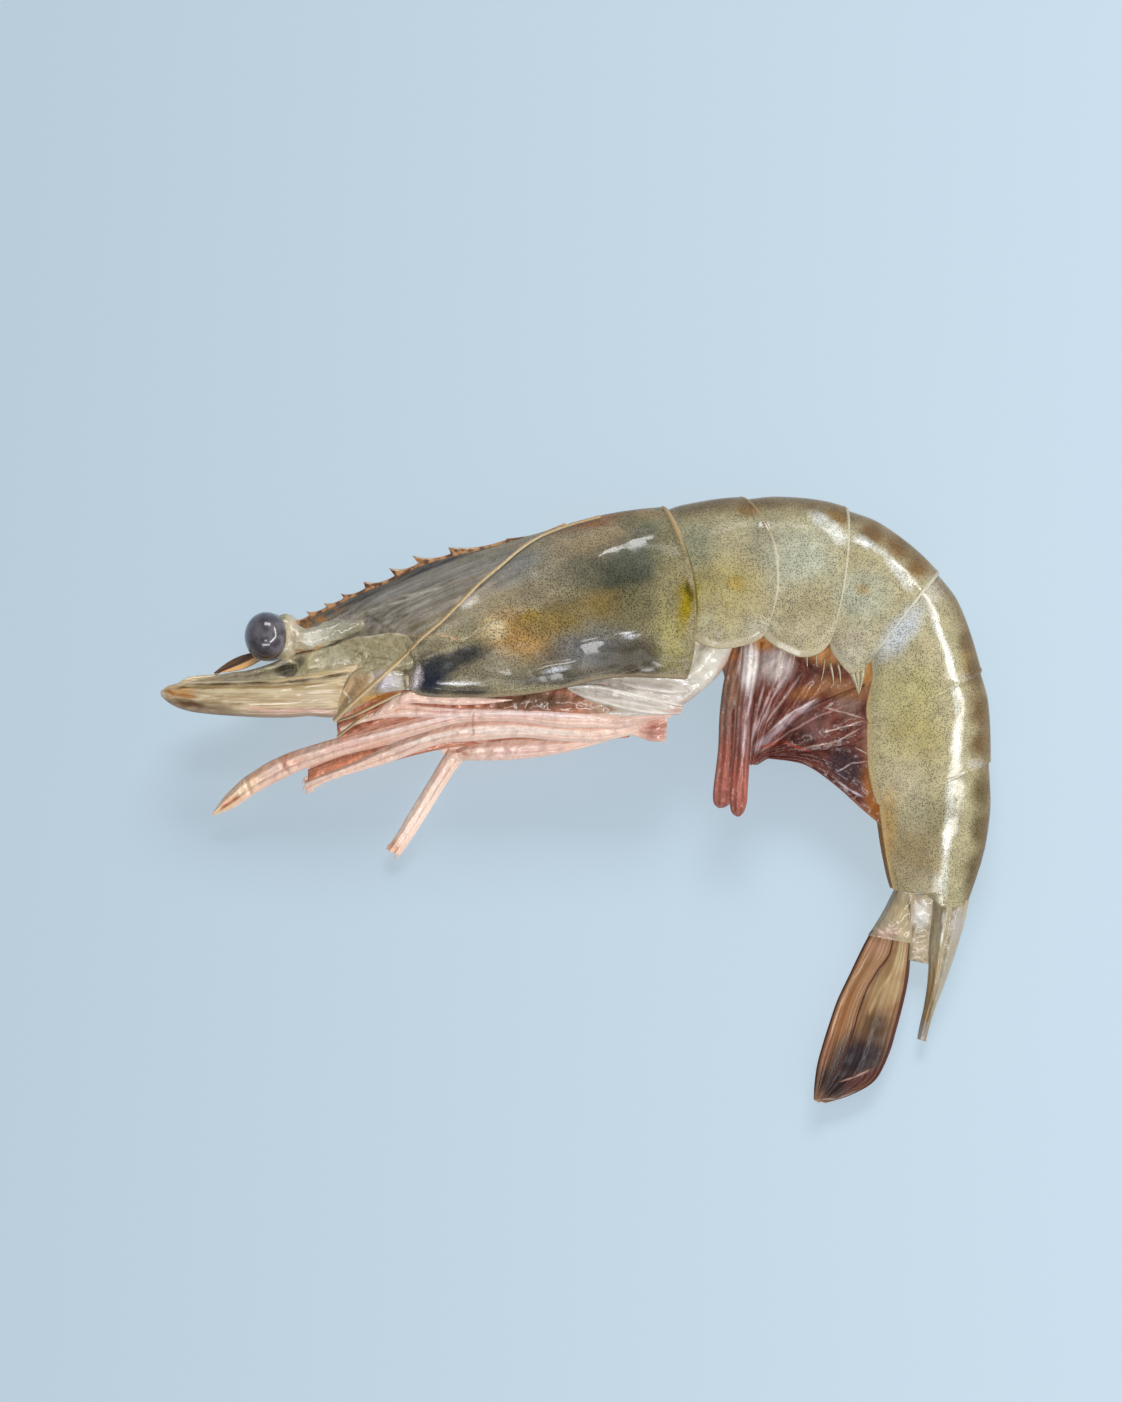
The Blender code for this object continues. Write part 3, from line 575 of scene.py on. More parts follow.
RIDGE_LINES_AND_PAINTED_LIGHT = (      # pale ridges, painted shade in the creases beside them, and painted highlights
    *stroke(((-26.2, 24.3), (-23.1, 24.0), (-20.2, 24.0)), 0.3, (0.5, 0.36, 0.18), 0.8),
    *stroke(((-20.4, 24.3), (-18.7, 23.9), (-17.1, 23.4)), 0.3, (0.62, 0.42, 0.22), 0.95),
    *stroke(((-17.1, 23.4), (-15.7, 23.9), (-14.1, 25.2), (-10.9, 26.2)), 0.26, (0.52, 0.46, 0.27), 0.8),
    *stroke(((-22.5, 20.7), (-20.0, 21.7), (-16.2, 22.8)), 0.3, (0.4, 0.35, 0.24), 0.7),
    # painted shade in the crease below this ridge
    *stroke(((-21.9, 20.1), (-19.4, 21.1), (-15.8, 22.1)), 0.35, (0.03, 0.03, 0.035), 0.7),
    # painted highlights low on the side and along the lower margin
    (-3.2, 19.2, 2.2, 0.5, 12, (0.78, 0.8, 0.82), 0.8),
    (7.1, 24.1, 1.2, 0.6, -15, (0.75, 0.76, 0.78), 0.7),
    (-17.5, 17.2, 2.8, 0.2, 0, (0.85, 0.87, 0.9), 0.75),
    *stroke(((-31.0, 27.6), (-28.1, 28.3), (-24.5, 29.4)), 0.24, (0.6, 0.56, 0.46), 0.7),
    *stroke(((-26.0, 29.8), (-23.1, 30.2), (-19.7, 31.0)), 0.24, (0.56, 0.52, 0.43), 0.7),
    *stroke(((-27.1, 25.3), (-24.2, 27.0), (-20.4, 28.3), (-15.8, 29.9)), 0.3, (0.48, 0.43, 0.3), 0.6),
    # painted shade in the groove under the crest
    *stroke(((-31.8, 29.4), (-27.4, 31.1), (-23.1, 33.0), (-18.0, 35.2)), 0.35, (0.07, 0.07, 0.075), 0.7),
    *stroke(((-20.2, 35.2), (-14.4, 36.3), (-7.1, 37.8)), 0.3, (0.32, 0.2, 0.11), 0.7),
    # painted shade in the crease below the ridge lines above
    *stroke(((-24.1, 23.6), (-21.9, 22.8), (-19.0, 22.7)), 0.8, (0.12, 0.1, 0.05), 0.6),
)

olive_shell, tree, shader = finish("olive_shell", 0.45, 1.0, 0.1, 0.12, (1.0, 0.8, 0.5))
place = use(tree, WANDER, size=0.004, reach=0.003).outputs["Place"]
round_way, along = skin_map(tree)
colour = marked(tree, (0.34, 0.29, 0.16), CARAPACE_MARKS, place)
near = use(tree, WANDER, size=0.0014, reach=0.0004).outputs["Place"]
colour = marked(tree, colour, RIDGE_LINES_AND_PAINTED_LIGHT, near)
front = use(tree, SOFT_PATCH, place=place, centre=(-24.0 * MM, 29.0 * MM, 0), turn=math.radians(22),
            size=(22 * MM, 7 * MM, 1)).outputs["Mask"]
streaks = use(tree, STREAKS, place=object_place(tree), turn=math.radians(24), length=0.009,
              width=0.0006, contrast=0.18).outputs["Mask"]
colour = blend(tree, maths(tree, "MULTIPLY", maths(tree, "MULTIPLY", front, streaks), 0.85), colour,
               (0.44, 0.4, 0.33))
shades = use(tree, STREAKS, place=object_place(tree), turn=math.radians(25), length=0.014,
             width=0.0011, contrast=0.16).outputs["Mask"]
colour = blend(tree, maths(tree, "MULTIPLY", maths(tree, "MULTIPLY", front, shades), 0.4), colour,
               (0.13, 0.115, 0.09))
colour = vector_maths(tree, "MULTIPLY", colour, (0.93, 0.93, 0.97))
clear_front = maths(tree, "MULTIPLY_ADD", front, -0.6, 0.85)
colour = speckled(tree, colour, 0.00024, 0.68, clear_front)
rear_cord = maths(tree, "MULTIPLY", smooth_range(tree, along, 0.979, 0.986),
                  smooth_range(tree, round_way, 0.29, 0.22, 0.0, 0.85))
colour = blend(tree, rear_cord, colour, (0.44, 0.29, 0.14))
rear_line = maths(tree, "MULTIPLY", smooth_range(tree, along, 0.988, 0.994),
                  smooth_range(tree, round_way, 0.22, 0.3, 0.0, 0.35))
colour = blend(tree, rear_line, colour, (0.2, 0.15, 0.04))
low_rim = low_rim_strip(tree, round_way, 0.03, 0.012)
colour = blend(tree, maths(tree, "MULTIPLY", low_rim, 0.5), colour, (0.36, 0.27, 0.17))
wet = use(tree, WET, coarse=0.0026, fine=0.00034, depth=0.00008)
dress(tree, shader, colour, wet)
glossed(tree, shader, CARAPACE_GLINTS)
keep("shell_carapace", ringed(carapace_ring, 200, 230), olive_shell, "carapace_shell", "carapace")


# --- Abdomen ---
# Six rings of the same clear shell lie over each other like tiles, each with a rounded lobe hanging
# at the side. White muscle shows through, so they are paler than the carapace, with brown along the
# back and a clear, raised, whitish rim at each rear edge.

ABDOMEN_RIBS = (     # back (x, y), lower notch (x, y), full width, bulge of the margin at mid-side
    (12.5, 42.7, 17.0, 24.0, 15.4, 2.3),
    (24.1, 44.4, 26.8, 24.9, 15.4, 3.4),
    (39.3, 42.8, 36.8, 24.4, 15.0, 0.7),
    (52.7, 33.1, 42.6, 20.6, 14.2, -0.4),
    (58.8, 18.8, 42.1, 11.4, 12.8, 0.6),
    (60.2, 5.7, 43.6, -0.5, 11.2, 0.5),
    (59.5, -6.0, 45.2, -9.2, 9.4, 0.3),
    (56.8, -15.3, 46.4, -14.2, 7.6, 0.6),
)
RING_SPANS = ((0, 1), (1, 2), (2, 3), (3, 4), (4, 5), (5, 7))
PLEURON_DROP = (2.2, 3.9, 4.5, 0.9, 0.9, 0.3)
RIM_RISE = (0.08, 0.1, 0.1, 0.12, 0.03, 0.03)
RING_SECTION = (
    (1.0, 0.0), (0.95, 0.26), (0.8, 0.56), (0.54, 0.83), (0.16, 0.98), (-0.26, 0.99),
    (-0.66, 0.9), (-0.93, 0.8), (-1.0, 0.7), (-0.93, 0.58), (-0.78, 0.34), (-0.72, 0.0),
)
TUCK = (0.035, 0.035, 0.035, 0.03, 0.018, 0.018)  # how much smaller each ring's front is
OVERLAP = 0.9        # how far a ring's front reaches under the one before
FIRST_CALM_RING = 3  # from this ring on, counted from 0, the shell is smoother
REAR_CALM = 0.3      # share of the unevenness that is left there


def middle_height(width):
    """Height of the middle plane where the body is this wide: the thinner tail lies lower."""
    return min(KEEL, width / 2 - 0.15)


def abdomen_ring(number):
    """The rings of one segment of the abdomen, from its front to its rear margin."""
    first, last = RING_SPANS[number]
    steps = len(ABDOMEN_RIBS) - 1

    def ring_at(t):
        rib = through(ABDOMEN_RIBS, (first + (last - first) * t) / steps)
        back, belly = Vector(rib[0:2]), Vector(rib[2:4])
        middle, half = (back + belly) / 2, (back - belly) / 2
        lobe = PLEURON_DROP[number] * max(math.sin(math.pi * t), 0.0) ** (0.3 if number == 2 else 0.5)
        scale = 1 - TUCK[number] * (1 - ease(0.0, 0.3, t))
        front, rear = ABDOMEN_RIBS[first][5], ABDOMEN_RIBS[last][5]
        along = half.normalized()
        tailward = Vector((along.y, -along.x))
        slide = tailward * (0.24 * (1 - 2 * t) - OVERLAP * (1 - ease(0.0, 0.3, t)))
        rim = RIM_RISE[number] * hump(t, 0.975, 0.018)

        def point(turn):
            up, out = section_point(RING_SECTION, turn)
            shift = margin_shift(rib, up, front + (rear - front) * t)
            up -= lobe / half.length * ease(-0.35, -1.0, up)
            if number == 5:
                shift -= tailward * 1.7 * ease(0.8, 1.0, t) * ease(0.25, -0.15, up)
            flat = middle + half * up * scale + shift + slide
            fold = 1 - abs(1 - 2 * turn)
            place = Vector((flat.x, flat.y, middle_height(rib[4]) + out * rib[4] / 2 * scale))
            side = Vector((flat.x - middle.x, flat.y - middle.y, out * rib[4] / 2)).normalized()
            rise = rim * (1 - ease(0.62, 0.75, fold)) + 0.16 * hump(fold, 0.69, 0.02)
            uneven = (ripple(place, 4.0, 0.16) + ripple(place, 1.4, 0.06)) * abs(out)
            rise += uneven * (REAR_CALM if number >= FIRST_CALM_RING else 1.0)
            return place + side * rise

        return point

    return ring_at


ABDOMEN_MARKS = (
    (16.5, 36.9, 3.8, 4.6, 0, (0.27, 0.27, 0.18), 0.85),
    (18.0, 30.8, 1.7, 3.8, 0, (0.27, 0.24, 0.12), 0.85),
    (21.5, 30.2, 5.5, 5.5, 0, (0.4, 0.33, 0.13), 0.85),
    (22.6, 31.5, 1.6, 1.3, 0, (0.42, 0.3, 0.07), 0.8),
    (16.2, 28.6, 1.6, 4.9, 0, (0.33, 0.27, 0.04), 0.85),
    (18.0, 25.7, 2.0, 2.0, 0, (0.45, 0.42, 0.27), 0.7),
    (26.8, 38.1, 4.1, 4.3, 0, (0.33, 0.31, 0.21), 0.85),
    (32.0, 35.0, 6.1, 5.8, 0, (0.5, 0.51, 0.4), 0.9),
    (34.2, 29.1, 4.9, 4.1, 0, (0.4, 0.34, 0.2), 0.8),
    (26.2, 25.4, 2.6, 1.6, 15, (0.5, 0.48, 0.38), 0.8),
    (40.7, 29.7, 4.9, 4.6, 0, (0.47, 0.48, 0.37), 0.85),
    (40.9, 30.8, 1.3, 1.0, 0, (0.4, 0.27, 0.1), 0.7),
    (38.6, 22.7, 4.6, 4.1, 0, (0.48, 0.44, 0.34), 0.85),
    (46.3, 24.7, 2.3, 5.8, -38, (0.6, 0.64, 0.68), 0.9),
    (51.8, 31.1, 1.9, 4.6, -40, (0.52, 0.48, 0.4), 0.85),
    (47.3, 16.3, 5.8, 4.6, 0, (0.44, 0.39, 0.17), 0.8),
    (48.3, 9.1, 5.2, 5.5, 0, (0.44, 0.37, 0.15), 0.85),
    (56.5, 20.2, 1.4, 2.9, 10, (0.4, 0.26, 0.07), 0.8),
    (56.7, 18.3, 2.6, 0.7, 5, (0.56, 0.5, 0.42), 0.8),
    (57.9, 5.6, 2.9, 0.9, 3, (0.54, 0.5, 0.43), 0.8),
    (46.5, 3.0, 4.3, 4.3, 0, (0.46, 0.4, 0.25), 0.8),
    (50.9, -2.8, 5.2, 4.1, 0, (0.27, 0.24, 0.13), 0.85),
    (48.0, -8.3, 5.8, 6.1, 0, (0.28, 0.21, 0.1), 0.9),
    (44.2, -5.1, 2.0, 8.7, -6, (0.47, 0.29, 0.09), 0.75),
    (32.9, 24.6, 10.1, 2.3, -8, (0.47, 0.4, 0.26), 0.7),
    *stroke(((12.3, 43.0), (17.5, 43.0), (24.1, 43.4), (32.0, 43.4),
            (38.6, 41.8)), 1.5, (0.32, 0.24, 0.13), 0.8),
    *stroke(((22.6, 42.4), (25.8, 42.1)), 1.4, (0.28, 0.15, 0.05), 0.9),
    *stroke(((35.8, 42.1), (39.3, 41.1)), 1.5, (0.26, 0.15, 0.04), 0.9),
    *stroke(((40.7, 39.8), (44.4, 38.4), (48.0, 35.7), (50.3, 33.1)), 2.3, (0.21, 0.11, 0.035), 1.0),
    *stroke(((55.5, 25.6), (57.3, 21.4), (58.0, 16.3), (58.3, 10.5),
            (58.3, 6.6)), 2.3, (0.15, 0.09, 0.035), 0.95),
    *stroke(((58.6, 4.0), (58.7, -1.1), (58.3, -6.9), (57.3, -14.1)), 2.2, (0.12, 0.09, 0.035), 0.95),
)
RING_GLINTS = (
    (26.7, 40.1, 1.0, 1.3, 0), (14.1, 40.5, 0.9, 1.2, 0), (36.7, 39.5, 2.3, 1.3, -40),
    *(row[:5] for row in stroke(((39.6, 38.6), (44.4, 35.6), (48.7, 30.5), (50.2, 28.6), (53.1, 22.1),
                                 (54.2, 17.8), (55.2, 12.0), (54.8, 5.6), (53.8, -1.1), (53.1, -8.3),
                                 (52.8, -14.9)), 1.8, None)),
    (18.7, 24.1, 2.0, 1.3, -30), (30.2, 22.1, 2.0, 1.2, -30), (35.7, 18.9, 1.7, 0.9, -20),
    (24.8, 24.4, 1.4, 0.7, 20),
    (39.0, 18.3, 1.7, 0.6, 0),
)

FLANK_PAINTED_HIGHLIGHT = (                                                  # painted highlight: a pale band along the flank's ridge, under the glints
    *stroke(((33.3, 41.8), (35.8, 40.4), (38.1, 37.3)), 1.3, (0.86, 0.88, 0.84), 0.75),
    *stroke(((39.7, 38.5), (43.9, 35.9), (47.7, 30.8)), 0.9, (0.8, 0.82, 0.78), 0.7),
    *stroke(((50.3, 28.5), (52.9, 22.4), (54.2, 17.8), (54.8, 12.0), (54.5, 5.6)), 0.7,
            (0.8, 0.82, 0.76), 0.6),
    *stroke(((54.1, 4.4), (53.5, -1.8), (53.1, -8.3), (52.8, -14.1)), 0.8, (0.8, 0.82, 0.76), 0.6),
)

ring_shell, tree, shader = finish("ring_shell", 0.42, 1.0, 0.14, 0.15, (1.0, 0.8, 0.55))
place = use(tree, WANDER, size=0.004, reach=0.0016).outputs["Place"]
round_way, along = skin_map(tree)
colour = marked(tree, (0.43, 0.38, 0.23), ABDOMEN_MARKS, place)
colour = marked(tree, colour, FLANK_PAINTED_HIGHLIGHT, use(tree, WANDER, size=0.0014, reach=0.0014).outputs["Place"])
back_band = smooth_range(tree, round_way, 0.26, 0.12)
breaks = add(tree, "TexNoise", {"Vector": place, "Scale": 130.0, "Detail": 2.0}).outputs["Fac"]
back_band = maths(tree, "MULTIPLY", back_band, smooth_range(tree, breaks, 0.3, 0.6, 0.45, 0.8))
colour = blend(tree, back_band, colour, (0.19, 0.12, 0.05))
colour = vector_maths(tree, "MULTIPLY", colour, (0.94, 0.94, 0.91))
colour = speckled(tree, colour, 0.00024, 0.62, 0.85)
way = add(tree, "SeparateXYZ", {"Vector": object_place(tree)})
last_ring = smooth_range(tree, way.outputs["Y"], 0.004, -0.002)
thin_edge = smooth_range(tree, round_way, 0.06, 0.02, 0.0, 0.7)
colour = blend(tree, thin_edge, colour, blend(tree, last_ring, (0.4, 0.31, 0.26), (0.1, 0.05, 0.02)))
rim = smooth_range(tree, along, 0.955, 0.98)
forward = smooth_range(tree, way.outputs["Y"], 0.021, 0.024, 0.05, 0.5)
upper_rim = smooth_range(tree, way.outputs["X"], 0.03, 0.026)
rim_tint = blend(tree, maths(tree, "MULTIPLY", upper_rim, smooth_range(tree, round_way, 0.5, 0.3)),
                 (0.62, 0.59, 0.48), (0.4, 0.24, 0.1))
colour = blend(tree, maths(tree, "MULTIPLY", rim, forward), colour, rim_tint)
low_rim = low_rim_strip(tree, round_way, 0.04, 0.015)
rear_rings = smooth_range(tree, way.outputs["Y"], 0.02, 0.016)
colour = blend(tree, maths(tree, "MULTIPLY", low_rim, 0.5), colour,
               blend(tree, rear_rings, (0.58, 0.5, 0.36), (0.52, 0.36, 0.17)))
outer_strip = maths(tree, "MULTIPLY", smooth_range(tree, round_way, 0.68, 0.71), rear_rings)
colour = blend(tree, maths(tree, "MULTIPLY", outer_strip, 0.8), colour, (0.24, 0.12, 0.05))
wet = use(tree, WET, coarse=0.0026, fine=0.00034, depth=0.00008)
dress(tree, shader, colour, wet)
glossed(tree, shader, RING_GLINTS)
for number in range(len(RING_SPANS)):
    keep(f"shell_ring_{number + 1}", ringed(abdomen_ring(number), 160, 110 if number == 5 else 80),
         ring_shell, "ring_shell", f"abdomen_ring_{number + 1}")


# --- Rostrum ---
# The toothed blade that the carapace carries forward between the eyes: stiff brown shell, with an
# orange crest of forward-pointing teeth over a dark blue-grey band. It is one with the carapace.

ROSTRUM_TEETH = (    # from the rear: the crest before each tooth (x, y), and the tooth's tip (x, y)
    ((-2.0, 40.6), (-10.5, 38.3)),
    ((-10.6, 38.1), (-19.0, 37.0)),
    ((-18.6, 36.1), (-24.2, 35.8)),
    ((-23.3, 34.7), (-27.6, 34.0)),
    ((-26.7, 32.9), (-31.3, 32.0)),
    ((-31.0, 31.1), (-34.6, 30.3)),
    ((-34.1, 29.7), (-37.1, 28.9)),
    ((-36.5, 28.5), (-39.6, 27.7)),
    ((-39.1, 27.2), (-41.9, 26.5)),
    ((-41.4, 25.5), (-45.0, 24.4)),
    ((-44.4, 23.9), (-47.9, 22.3)),
    ((-47.6, 21.7), (-53.0, 18.8)),
)
ROSTRUM_LOWER_EDGE = ((-52.9, 18.7), (-48.2, 19.5), (-42.5, 22.8), (-38.4, 25.0), (-34.0, 26.6),
                      (-29.0, 28.4), (-23.3, 31.2), (-15.0, 34.6), (-2.0, 38.6))
TOP_STEPS = 9        # rings along each tooth's upper edge
FRONT_STEPS = 3      # and down its short front


def rostrum_stations():
    """From the rear: the crest's point and the share of the way forward, for each ring."""
    stations = []
    for number, (crest, tip) in enumerate(ROSTRUM_TEETH):
        crest, tip = Vector(crest), Vector(tip)
        for step in range(TOP_STEPS):
            share = step / (TOP_STEPS - 1)
            last = number + 1 == len(ROSTRUM_TEETH)
            hollow = -0.5 if last else 0.11 * min((tip - crest).length, 4.5)
            sag = Vector((0.0, -hollow * math.sin(math.pi * share)))
            stations.append((crest.lerp(tip, share) + sag, number + 0.96 * share))
        if number + 1 < len(ROSTRUM_TEETH):
            following = Vector(ROSTRUM_TEETH[number + 1][0])
            for step in range(1, FRONT_STEPS):
                share = step / FRONT_STEPS
                stations.append((tip.lerp(following, share), number + 0.96 + 0.04 * share))
    return stations


def rostrum_ring_maker():
    """Rings of the blade: thin at the crest, thicker below, from the rear to the tip."""
    stations = rostrum_stations()
    count = len(ROSTRUM_TEETH)
    notches = tuple(crest for crest, _ in ROSTRUM_TEETH) + (ROSTRUM_TEETH[-1][1],)

    def ring_at(t):
        crest, way = stations[round(t * (len(stations) - 1))]
        share = way / count
        gum = Vector(through(notches, share)) + Vector((0.15, -0.45))
        low = Vector(through(ROSTRUM_LOWER_EDGE, 1 - share))
        narrow = 1 - 0.75 * ease(0.75, 1.0, share)

        def point(turn):
            side = 1 if turn <= 0.5 else -1
            down = 2 * turn if side > 0 else 2 - 2 * turn
            if down < 0.4:
                flat = crest.lerp(gum, down / 0.4)
                thick = 0.1 + 0.25 * down / 0.4
            else:
                flat = gum.lerp(low, (down - 0.4) / 0.6)
                thick = 0.35 + 0.5 * math.sin((down - 0.4) / 0.6 * math.pi * 0.8)
            thick *= math.sin(min(down, 1 - down, 0.12) / 0.12 * math.pi / 2) ** 0.5 * narrow
            return Vector((flat.x, flat.y, KEEL + side * thick))

        return point

    return ring_at, len(stations)


rostrum_shell, tree, shader = finish("rostrum_shell", 0.38, 1.0, 0.08, 0.25)
round_way, along = skin_map(tree)
place = object_place(tree)
streaks = use(tree, STREAKS, place=place, turn=math.radians(27), length=0.006, width=0.00045,
              contrast=0.2).outputs["Mask"]
colour = blend(tree, streaks, (0.13, 0.115, 0.09), (0.04, 0.042, 0.046))
colour = blend(tree, smooth_range(tree, along, 0.5, 0.75, 0.0, 0.7), colour, (0.13, 0.09, 0.05))
low_part = maths(tree, "MULTIPLY", smooth_range(tree, round_way, 0.6, 0.9),
                 smooth_range(tree, along, 0.72, 0.5))
colour = blend(tree, low_part, colour, (0.26, 0.23, 0.16))
rusty = add(tree, "TexNoise", {"Vector": place, "Scale": 900.0, "Detail": 3.0}).outputs["Fac"]
rust_in_front = maths(tree, "MULTIPLY", smooth_range(tree, rusty, 0.42, 0.6),
                      smooth_range(tree, along, 0.45, 0.65))
colour = blend(tree, rust_in_front, colour, (0.3, 0.14, 0.05))
orange = blend(tree, smooth_range(tree, rusty, 0.4, 0.58), (0.13, 0.055, 0.025), (0.46, 0.25, 0.11))
colour = blend(tree, smooth_range(tree, round_way, 0.46, 0.34), colour, orange)
colour = blend(tree, smooth_range(tree, round_way, 0.12, 0.03, 0.0, 0.8), colour, (0.55, 0.37, 0.22))
past_eye = smooth_range(tree, along, 0.86, 0.91)
colour = blend(tree, past_eye, colour, blend(tree, streaks, (0.03, 0.018, 0.012), (0.13, 0.07, 0.04)))
under_eye = maths(tree, "MULTIPLY", past_eye, smooth_range(tree, round_way, 0.6, 0.75))
colour = blend(tree, under_eye, colour, (0.76, 0.44, 0.18))
wet = use(tree, WET, coarse=0.0011, fine=0.0004, depth=0.0001)
dress(tree, shader, colour, wet)
ring_maker, count = rostrum_ring_maker()
keep("rostrum", ringed(ring_maker, 40, count), rostrum_shell, "carapace_shell", "carapace")


# --- Thorax flesh ---
# White muscle shows behind and below the carapace, with two pale plates lying over the leg roots; the thin
# pink-brown skin along the lower edge is made with the mouth limbs. All of it is soft, wet and slightly
# clear.


def limb_rings(route, sizes, roll=0.0, relief=None, wobble=0.05):
    """Rings of a limb along a route; sizes are its (half height, half width) at even steps.

    The height lies in the plane of the body's side and the width across it, turned by roll degrees.
    relief(t, across) adds to the radius; across runs from 0 at the left of the route to 1 at its right.
    """
    tilt = math.radians(roll)

    def ring_at(t):
        here = Vector(through(route, t))
        ahead = Vector(through(route, min(t + 0.02, 1.0))) - Vector(through(route, max(t - 0.02, 0.0)))
        ahead.normalize()
        flat = Vector((0, 0, 1)).cross(ahead).normalized()
        over = ahead.cross(flat)
        across = flat * math.cos(tilt) + over * math.sin(tilt)
        over = over * math.cos(tilt) - flat * math.sin(tilt)
        height, width = through(sizes, t)
        height, width = max(height, 0.05), max(width, 0.05)

        def point(turn):
            angle = turn * math.tau
            off = across * (height * math.cos(angle)) + over * (width * math.sin(angle))
            rise = relief(t, 1 - abs(1 - 2 * turn)) if relief else 0.0
            rise += ripple(here + off, 1.1, wobble)
            return here + off + off.normalized() * max(rise, -0.8 * off.length)

        return point

    return ring_at


def limb(name, route, sizes, material, slot, *nodes, around=40, rings=90, roll=0.0, relief=None,
         wobble=0.05):
    """One limb, kept as a piece of its own."""
    shape = limb_rings(route, sizes, roll, relief, wobble)
    return keep(name, ringed(shape, around, rings), material, slot, *nodes)


def plate(name, upper, lower, heights, depths, material, slot, *nodes, around=64, rings=120,
          relief=None, wobble=0.08):
    """A flattened piece between two outline edges (x, y), with its middle height and half thickness.

    All four rows run the same way at even steps. relief(t, across) raises the face, across running
    from 0 at the upper edge to 1 at the lower.
    """
    def ring_at(t):
        one, other = Vector((*through(upper, t), 0.0)), Vector((*through(lower, t), 0.0))
        middle = through(tuple((value,) for value in heights), t)[0]
        depth = max(through(tuple((value,) for value in depths), t)[0], 0.03)

        def point(turn):
            way = 1 - abs(1 - 2 * turn)
            across = (1 - math.cos(math.pi * way)) / 2
            place = one.lerp(other, across)
            bow = max(math.sin(math.pi * way), 0.0) ** 0.75
            if turn <= 0.5:
                rise = (relief(t, across) if relief else 0.0) + ripple(place, 1.3, wobble)
                place.z = middle + bow * max(depth + rise, 0.03)
            else:
                place.z = middle - bow * depth * 0.8
            return place

        return point

    return keep(name, ringed(ring_at, around, rings), material, slot, *nodes)


def strands(name, routes, material, slot, *nodes, around=6, rings=8):
    """Many thin strands in one mesh: each has a route, a radius at its root and one at its tip."""
    whole = bmesh.new()
    for route, root, tip in routes:
        part = ringed(limb_rings(route, ((root, root), (tip, tip)), wobble=0.0), around, rings)
        mesh = bpy.data.meshes.new("strand")
        part.to_mesh(mesh)
        part.free()
        whole.from_mesh(mesh)
        bpy.data.meshes.remove(mesh)
    return keep(name, whole, material, slot, *nodes)


def soft_skin(name, light, dark, turn, marks, lines=(), specks=None, roughness=0.36, bump=0.00022,
              film=1.0):
    """Wet clear skin: fine streaks (along the piece, unless turned), soft marks, finer lines, specks."""
    material, tree, shader = finish(name, roughness, film, 0.08, 0.3, (1.0, 0.6, 0.45))
    course = object_place(tree)
    if turn is None:
        round_way, along = skin_map(tree)
        course = add(tree, "CombineXYZ", {"X": maths(tree, "MULTIPLY", along, 0.03),
                                          "Y": maths(tree, "MULTIPLY", round_way, 0.004)}).outputs["Vector"]
    grain = use(tree, STREAKS, place=course, turn=math.radians(turn or 0), length=0.006,
                width=0.0004, contrast=0.22).outputs["Mask"]
    colour = blend(tree, grain, dark, light)
    wide = use(tree, WANDER, size=0.0025, reach=0.001).outputs["Place"]
    near = use(tree, WANDER, size=0.0012, reach=0.00035).outputs["Place"]
    colour = marked(tree, marked(tree, colour, marks, wide), lines, near)
    if specks:
        spots = use(tree, PIGMENT, spacing=0.0006, size=0.34).outputs["Dots"]
        colour = blend(tree, maths(tree, "MULTIPLY", spots, 0.5), colour, specks)
    fine = use(tree, STREAKS, place=course, turn=math.radians(turn or 0), length=0.003,
               width=0.00022, contrast=0.3).outputs["Mask"]
    colour = blend(tree, maths(tree, "MULTIPLY", fine, 0.25), colour, light)
    wet = use(tree, WET, coarse=0.0012, fine=0.0004, depth=bump)
    ribbed = add(tree, "Bump", {"Height": grain, "Strength": 0.15, "Distance": 0.00008,
                                "Normal": wet.outputs["Normal"]})
    dress(tree, shader, colour, ribbed)
    return material


pale_flesh = soft_skin("pale_flesh", (0.66, 0.62, 0.57), (0.46, 0.39, 0.33), -12, (
    (18.4, 20.4, 3.8, 4.3, -20, (0.6, 0.58, 0.5), 0.9),
    (16.1, 14.4, 6.4, 1.0, 25, (0.46, 0.25, 0.19), 0.75),
    (21.0, 19.5, 0.9, 3.5, -25, (0.48, 0.3, 0.22), 0.7),
    (4.8, 13.7, 2.9, 0.9, 0, (0.42, 0.35, 0.24), 0.8),
    (-0.1, 14.4, 1.7, 1.4, 0, (0.4, 0.33, 0.25), 0.7),
), (
    *stroke(((-1.6, 16.7), (1.9, 16.9), (6.7, 16.0), (11.0, 14.9), (14.9, 14.1)), 0.28, (0.8, 0.77, 0.72)),
    *stroke(((-1.0, 16.0), (2.3, 14.9), (7.4, 13.4), (13.5, 12.8)), 0.24, (0.74, 0.68, 0.62)),
    *stroke(((2.8, 15.7), (7.1, 14.9), (11.7, 14.0)), 0.3, (0.36, 0.3, 0.25), 0.7),
    *stroke(((5.1, 18.1), (8.8, 18.6), (12.5, 18.3), (15.5, 17.5)), 0.24, (0.82, 0.79, 0.74)),
    *stroke(((6.2, 17.2), (10.0, 16.2), (15.2, 16.0)), 0.2, (0.74, 0.7, 0.64)),
    *stroke(((7.4, 17.6), (11.0, 17.3), (14.6, 16.7)), 0.26, (0.5, 0.44, 0.37), 0.6),
))


def plate_relief(t, across):
    """A plate over a leg root: a raised rim all round and a hollow middle."""
    return 0.22 * hump(across, 0.1, 0.1) + 0.2 * hump(across, 0.9, 0.1) - 0.1 * hump(across, 0.5, 0.2)


